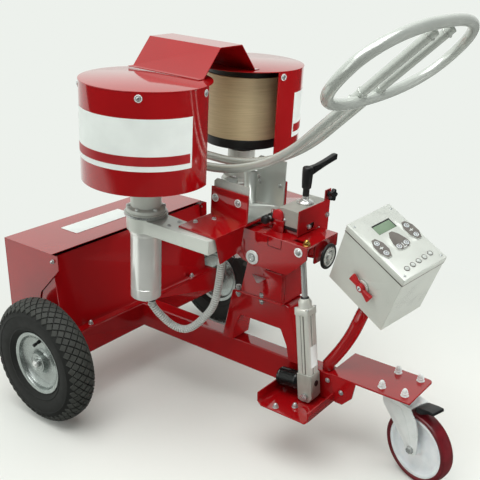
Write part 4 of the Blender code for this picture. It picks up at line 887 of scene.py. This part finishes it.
# %% Actuator
for node, material in (
        ("actuator_body", sand_cast), ("actuator_tube", cast_aluminium), ("actuator_rod", ground_steel)):
    finish_node(node, material, 30)
quarters = [rotation(angle, "Z") for angle in (0, 90, 180, 270)]
ridge = block((0.0183, -0.003, 0.0668), (0.0208, 0.003, 0.2376), 0.0004, 1)
make_piece("actuator_tube_ridges", repeated(ridge, quarters), cast_aluminium, "actuator_tube", ACTUATOR, 30)
# Dark strips on the groove floors, beside each ridge: painted shade in the tube's slots.
slot_shade_strips = joined(*(block((0.0183, y, 0.0668), (0.0188, y + 0.0029, 0.2376)) for y in (0.0031, -0.006)))
make_piece("actuator_slot_painted_shade", repeated(slot_shade_strips, quarters), pad_film_and_shade, "actuator_tube", ACTUATOR, 30)
wiper = turned([(0.0081, 0.2836), (0.0118, 0.2838), (0.0116, 0.2862), (0.0096, 0.288), (0.0081, 0.288)], 40)
make_piece("actuator_wiper_seal", wiper, black_nylon, "actuator_tube", ACTUATOR, 40)
boss = turned([(0.0, 0.0), (0.0062, 0.0), (0.0058, 0.018), (0.005, 0.019), (0.0, 0.019)], 24)
bosses = repeated(boss, facing(AT_REST, UPWARD, grid((-0.0165, 0.0165), (-0.0165, 0.0165), 0.24)))
make_piece("actuator_cap_bosses", bosses, cast_aluminium, "actuator_tube", ACTUATOR, 35)
screw_places = facing(AT_REST, UPWARD, grid((-0.0185, 0.0185), (-0.0185, 0.0185), 0.258))
screws = repeated(button_head(0.004), screw_places)
make_piece("actuator_cap_screws", screws, zinc, "actuator_tube", ACTUATOR, 30)
label = slab([(-0.015, 0.086), (0.015, 0.086), (0.015, 0.15), (-0.015, 0.15)], 0.0212, 0.0215)
behind_tube = ACTUATOR @ Matrix.Diagonal((1, -1, 1, 1)) @ ALONG_Y
make_piece("actuator_label", label, label_film, "actuator_tube", behind_tube)
PLUG = [(0.0, 0.0), (0.0088, 0.0), (0.0088, 0.0008), (0.0074, 0.0012), (0.006, 0.0004), (0.0, 0.0004)]
plug_place = ACTUATOR @ spot((0.002, -0.0236, 0.036), REARWARD)
make_piece("actuator_shaft_plug", turned(PLUG, 32), black_nylon, "actuator_tube", plug_place)
rib = ((0.0265, 0.0), (0.0265, 0.0024), (0.0255, 0.0028), (0.0255, 0.0037))
ribs = [(radius, 0.0352 + 0.004 * i + step) for i in range(13) for radius, step in rib]
motor = (
    [(0.0, 0.0238), (0.0196, 0.0238), (0.0202, 0.0244), (0.0256, 0.032), (0.0264, 0.0338)] + ribs
    + [(0.0264, 0.0892), (0.0256, 0.0912), (0.024, 0.0938), (0.0232, 0.094), (0.0, 0.094)])
motor_place = ACTUATOR @ shift(0.0, 0.0, 0.03) @ ALONG_Y
stand_in("actuator_motor", "actuator_motor_ribbed", turned(motor, 56), black_enamel, motor_place, 30)

# %% [markdown]
# ## Control box
# A folded and welded steel box with a fitted lid; a dark strip under the lid's edge is painted shade in the
# seam. The face has a display, three dark key pads with two domed push buttons each, a row of five small
# lamps, and a screw in each corner. The isolator on the left side is a moulded bow-tie handle over a round
# seat. Words and marks are left out.

# %% Display and key pads
# A black frame round the display, drawn wider at the top and right as painted shade of its recess.
frame_and_recess_shade = block((-0.0268, 0.0342, -0.0015), (0.0358, 0.0658, -0.0011), 0.0001, 1)
make_piece("display_frame_and_painted_shade", frame_and_recess_shade, black_nylon, "control_face", DESK)
glass = block((-0.026, 0.035, -0.0011), (0.0322, 0.0616, -0.0007), 0.0001, 1)
make_piece("display_glass", glass, display_glass, "control_face", DESK)
shape = merged_copy("control_face")
to_desk = DESK.inverted()
others = [f for f in shape.faces if not 0.0034 < (to_desk @ f.calc_center_median()).z < 0.004]
bmesh.ops.delete(shape, geom=others, context="FACES")
grown = bmesh.ops.extrude_face_region(shape, geom=list(shape.faces), use_keep_orig=True)["geom"]
lift_by = DESK.to_3x3() @ Vector((0.0, 0.0, 0.0003))
bmesh.ops.translate(shape, verts=[v for v in grown if isinstance(v, bmesh.types.BMVert)], vec=lift_by)
make_piece("key_pad_film", shape, pad_film_and_shade, "control_face", smooth=30)
marks = (
    (-0.0553, -0.0012, 0.0058, 0.0011), (-0.0553, -0.0012, 0.0011, 0.004),
    (0.0012, -0.0188, 0.0011, 0.005), (0.0012, -0.0275, 0.0058, 0.0011),
    (0.0553, 0.005, 0.0058, 0.0011), (0.0553, 0.005, 0.0011, 0.004))
marks = [block((x - w, y - h, 0.0038), (x + w, y + h, 0.0041)) for x, y, w, h in marks]
make_piece("key_pad_bars", joined(*marks), label_film, "control_face", DESK)
button = [
    (0.0, 0.0), (0.0068, 0.0), (0.007, 0.0003), (0.007, 0.0048), (0.0066, 0.0058), (0.0056, 0.0063),
    (0.0042, 0.0062), (0.003, 0.0057), (0.0, 0.0055)]
button_ring = [(0.0032, 0.0056), (0.0045, 0.0056), (0.0045, 0.0067), (0.0032, 0.0067)]
KEYS = {
    "left": ((-0.0553, -0.0182), (-0.0553, 0.0158)),
    "middle": ((-0.0113, -0.0188), (0.0137, -0.0188)),
    "right": ((0.0553, -0.0122), (0.0553, 0.0222))}
for pad, spots in KEYS.items():
    for hand, (x, y) in zip("ab", spots):
        node = f"button_{pad}_{hand}"
        place = DESK @ shift(x, y, -0.0017)
        stand_in(node, node + "_domed", turned(button, 40), white_nylon, place, 40)
        make_piece(node + "_ring", turned(button_ring, 32), pad_film_and_shade, node, place, 40)

# %% Lamps, screws and seam of the box
lamp_places = [shift(-0.0426 + 0.0216 * i, -0.0785 + 0.0014 * i, 0.0) for i in range(5)]
bezel = [
    (0.0062, 0.0), (0.0075, 0.0), (0.0075, 0.0006), (0.0071, 0.0011), (0.0066, 0.0011), (0.0062, 0.0006)]
lens = [(0.0, 0.0), (0.006, 0.0), (0.0058, 0.001), (0.0048, 0.0021), (0.0028, 0.0029), (0.0, 0.0032)]
bezels = repeated(turned(bezel, 36), lamp_places)
make_piece("face_lamp_bezels", bezels, pad_film_and_shade, "control_face", DESK, 40)
make_piece("face_lamps", repeated(turned(lens, 32), lamp_places), lamp_lens, "control_face", DESK, 40)
face_corners = grid((-0.064, 0.064), (-0.092, 0.086), 0.0)
fasten("face_screws", button_head(0.0034), facing(DESK, UPWARD, face_corners), "control_face")
# A dark strip all round the box under the lid's edge: painted shade in the seam between lid and box.
seam_shade_strip = block((-0.0746, -0.1029, -0.025), (0.0746, 0.1029, -0.0219), 0.001, 1)
make_piece("lid_seam_painted_shade", seam_shade_strip, pad_film_and_shade, "control_face", DESK)
seat = DESK @ shift(-0.07575, -0.0074, -0.1261) @ ALONG_X
seat_ring = [
    (0.009, -0.0042), (0.0172, -0.0042), (0.0178, -0.0034), (0.0178, -0.001), (0.0172, 0.0), (0.009, 0.0)]
make_piece("isolator_seat_ring", turned(seat_ring, 56), grey_coat, "control_box", seat, 35)
turn = Matrix.Rotation(radians(13.4), 2)
bow = [
    (-0.0375, -0.0125), (-0.012, -0.0058), (-0.0085, -0.0052), (0.0085, -0.0052), (0.012, -0.0058),
    (0.0375, -0.0125), (0.0375, 0.0125), (0.012, 0.0058), (0.0085, 0.0052), (-0.0085, 0.0052),
    (-0.012, 0.0058), (-0.0375, 0.0125)]
bow = slab([tuple(turn @ Vector(corner)) for corner in bow], -0.0145, -0.0045, 0.0018, 3)
hub = [
    (0.0, -0.005), (0.0118, -0.005), (0.0118, -0.0148), (0.0108, -0.0158), (0.0076, -0.0162),
    (0.007, -0.015), (0.0, -0.015)]
handle = joined(bow, turned(hub, 48))
stand_in("isolator_handle", "isolator_handle_moulded", handle, red_nylon, seat, 40)
key = turned([(0.0, -0.0149), (0.0066, -0.0149), (0.0066, -0.0162), (0.0058, -0.0166), (0.0, -0.0166)], 32)
make_piece("isolator_key", key, white_nylon, "isolator_handle", seat, 40)
slot = ((-0.0012, -0.0046), (0.0012, -0.0046), (0.0012, 0.0046), (-0.0012, 0.0046))
slot = slab([tuple(turn @ Vector(corner)) for corner in slot], -0.017, -0.0164)
make_piece("isolator_key_slot", slot, black_nylon, "isolator_handle", seat)
dot = turned([(0.0, -0.0002), (0.0028, -0.0002), (0.0028, -0.0012), (0.0022, -0.0018), (0.0, -0.002)], 20)
make_piece("isolator_mark", dot, white_nylon, "control_box", seat @ shift(0.021, 0.006, 0.0))

# %% [markdown]
# ## Castor
# A pressed and zinc plated fork under a double ball race, a white nylon core with a smooth dish, and a cast
# polyurethane tread. The fork's legs are folded plate with a long stiffening rib.

# %% Castor fork
head = [
    (0.0, 0.2347), (0.0345, 0.2347), (0.036, 0.234), (0.0372, 0.2325), (0.0376, 0.23), (0.0402, 0.229),
    (0.041, 0.2275), (0.041, 0.2245), (0.0402, 0.2232), (0.0372, 0.22), (0.036, 0.2175), (0.0345, 0.2167),
    (0.0, 0.2167)]
leg = [(0.0345, 0.2155), (0.0345, 0.199), (0.03, 0.188), (-0.056, 0.101)]
leg += arc((-0.074, 0.1), 0.018, -5, -175, 12)
leg += [(-0.0935, 0.115), (-0.092, 0.156), (-0.084, 0.185), (-0.068, 0.206), (-0.062, 0.2155)]
rib = [
    (0.02, 0.196), (-0.056, 0.119), (-0.06, 0.113), (-0.07, 0.113), (-0.07, 0.13), (-0.048, 0.183),
    (-0.03, 0.206), (0.01, 0.206)]
forks = [turned(head, 72), block((-0.034, -0.062, 0.2133), (0.034, 0.036, 0.2172), 0.0012)]
for low, high in ((-0.034, -0.03), (0.03, 0.034)):
    forks.append(slab(leg, low, high, 0.0011, 2, ALONG_X))
for low, high in ((-0.0354, -0.0339), (0.0339, 0.0354)):
    forks.append(slab(rib, low, high, 0.0013, 3, ALONG_X))
stand_in("castor_fork", "castor_fork_pressed", joined(*forks), bright_zinc, CASTOR, 35)
axle_end = shift(0.0, -0.074, 0.1)
bolt = [axle_end @ spot((0.034, 0, 0), RIGHTWARD), axle_end @ spot((-0.034, 0, 0), LEFTWARD)]
make_piece("castor_axle_bolt", repeated(hex_bolt(0.01), bolt), zinc, "castor_fork", CASTOR, 30)
spacer = turned(both_ends([(0.0062, 0.0299), (0.013, 0.0299), (0.013, 0.0274), (0.0062, 0.0274)]), 32)
make_piece("castor_spacers", spacer, ground_steel, "castor_fork", CASTOR @ axle_end @ ALONG_X, 30)

# %% Castor wheel and brake
CORE_HALF = [
    (0.0066, 0.027), (0.017, 0.027), (0.0182, 0.0266), (0.019, 0.0254), (0.02, 0.016), (0.021, 0.0126),
    (0.024, 0.0102), (0.032, 0.0082), (0.064, 0.006), (0.069, 0.007), (0.0722, 0.0098), (0.0745, 0.015),
    (0.0762, 0.017), (0.0785, 0.0178), (0.0845, 0.018), (0.0855, 0.0174)]
TREAD_HALF = [
    (0.0858, 0.0176), (0.088, 0.0196), (0.0935, 0.0205), (0.0955, 0.0202), (0.0974, 0.0186),
    (0.0985, 0.015), (0.0992, 0.011), (0.0998, 0.005), (0.1, 0.0)]
wheel = CASTOR @ axle_end @ ALONG_X
stand_in("castor_core", "castor_core_moulded", turned(both_ends(CORE_HALF), 112), white_nylon, wheel, 40)
stand_in(
    "castor_tread", "castor_tread_cast", turned(both_ends(TREAD_HALF), 112), maroon_urethane, wheel, 45)
finish_node("brake_pedal", black_nylon, 45)

# %% [markdown]
# ## Floor, light and camera
# The photograph is a studio shot on white paper: a pale floor that runs into a pale background, soft light
# from above and from the left, and weak shadows. The floor keeps its shadow near the machine and turns into
# plain white further out, which only the camera and mirror rays see.

# %% Floor
PAPER = "#EDF1EC"
BRIGHT_SIDE = (0.0, 0.97, 0.25)      # the lit paper backdrop. The rest of the studio is dark
paper = bpy.data.materials.new("white studio paper")
paper.use_nodes = True
tree = paper.node_tree
shader = tree.nodes["Principled BSDF"]
shader.inputs["Base Color"].default_value = colour("#E6E7E2")
shader.inputs["Roughness"].default_value = 0.75
shader.inputs["Specular IOR Level"].default_value = 0.1
place = add(paper, "ShaderNodeTexCoord").outputs["Object"]
reach = add(paper, "ShaderNodeVectorMath", {0: place}, operation="LENGTH").outputs["Value"]
fade = ramp(paper, reach, 0.5, 1.5, 0.0, 1.0)
path = add(paper, "ShaderNodeLightPath").outputs
floor_place = add(paper, "ShaderNodeSeparateXYZ", {"Vector": place}).outputs
near = ramp(paper, floor_place["X"], -2.2, -1.5, 0.0, 1.0)
behind = combine(paper, "MULTIPLY", floor_place["Y"], near)
lit = ramp(paper, behind, 0.2, 0.9, 0.06, 1.0, "SMOOTHSTEP")
mirrored = combine(paper, "MAXIMUM", fade, combine(paper, "SUBTRACT", 1.0, lit))
by_mirror = combine(paper, "MULTIPLY", mirrored, path["Is Glossy Ray"])
by_camera = combine(paper, "MULTIPLY", fade, path["Is Camera Ray"])
share = combine(paper, "MAXIMUM", by_mirror, by_camera)
power = combine(paper, "MAXIMUM", path["Is Camera Ray"], lit)
glow = add(paper, "ShaderNodeEmission", {"Color": colour(PAPER), "Strength": power}).outputs["Emission"]
mix = add(paper, "ShaderNodeMixShader", {0: share, 1: shader.outputs["BSDF"], 2: glow})
tree.links.new(mix.outputs["Shader"], tree.nodes["Material Output"].inputs["Surface"])
shape = bmesh.new()
bmesh.ops.create_circle(shape, cap_ends=True, segments=64, radius=14.0)
floor_mesh = bpy.data.meshes.new("floor")
shape.to_mesh(floor_mesh)
shape.free()
floor_mesh.materials.append(paper)
floor = bpy.data.objects.new("floor", floor_mesh)
floor.location.z = -0.0002
bpy.context.scene.collection.objects.link(floor)

# %% World
world = bpy.data.worlds.new("studio")
bpy.context.scene.world = world
world.use_nodes = True
back = world.node_tree.nodes["Background"]
direction = add(world, "ShaderNodeTexCoord").outputs["Generated"]
towards = add(world, "ShaderNodeVectorMath", {0: direction, 1: BRIGHT_SIDE}, operation="DOT_PRODUCT")
room = ramp(world, towards.outputs["Value"], -0.35, 0.45, 0.06, 1.0, "SMOOTHSTEP")
strength = combine(world, "MAXIMUM", add(world, "ShaderNodeLightPath").outputs["Is Camera Ray"], room)
back.inputs["Color"].default_value = colour(PAPER)
world.node_tree.links.new(strength, back.inputs["Strength"])


# %% Lamps
def softbox(name, location, target, size, watts):
    lamp = bpy.data.lights.new(name, "AREA")
    lamp.shape = "RECTANGLE"
    lamp.size, lamp.size_y = size
    lamp.energy = watts
    item = bpy.data.objects.new(name, lamp)
    item.location = location
    item.rotation_euler = (Vector(target) - Vector(location)).to_track_quat("-Z", "Y").to_euler()
    bpy.context.scene.collection.objects.link(item)
    return item


softbox("softbox above", (-0.6, -0.4, 3.2), (0.0, 0.0, 0.4), (3.0, 2.2), 82.0)
softbox("softbox left", (-3.2, 0.2, 1.8), (0.0, 0.0, 0.5), (1.6, 2.0), 12.0)
fill = softbox("softbox behind the operator", (1.1, -2.3, 0.6), (0.0, -0.4, 0.5), (1.2, 1.0), 34.0)
fill.visible_glossy = False            # no streak of it in the paint of the battery box

# %% Camera
PICTURE, FOCAL, CENTRE = 480, 752.85, (238.79, 239.03)      # pixels of the square picture
forward = Vector((0.73696, 0.57578, -0.35407))
level_right, level_up = Vector((0.61566, -0.78801, 0.0)), Vector((0.27901, 0.21799, 0.93522))
roll = radians(0.4)
right = cos(roll) * level_right + sin(roll) * level_up
up = cos(roll) * level_up - sin(roll) * level_right
lens = bpy.data.cameras.new("camera")
lens.sensor_width = 36.0
lens.lens = FOCAL / PICTURE * lens.sensor_width
lens.shift_x = (PICTURE / 2 - CENTRE[0]) / PICTURE
lens.shift_y = (CENTRE[1] - PICTURE / 2) / PICTURE
camera = bpy.data.objects.new("camera", lens)
turn = Matrix((right, up, -forward)).transposed().to_4x4()
camera.matrix_world = shift(-1.597, -1.2287, 1.3148) @ turn
bpy.context.scene.collection.objects.link(camera)
bpy.context.scene.camera = camera
bpy.context.scene.view_settings.view_transform = "Standard"
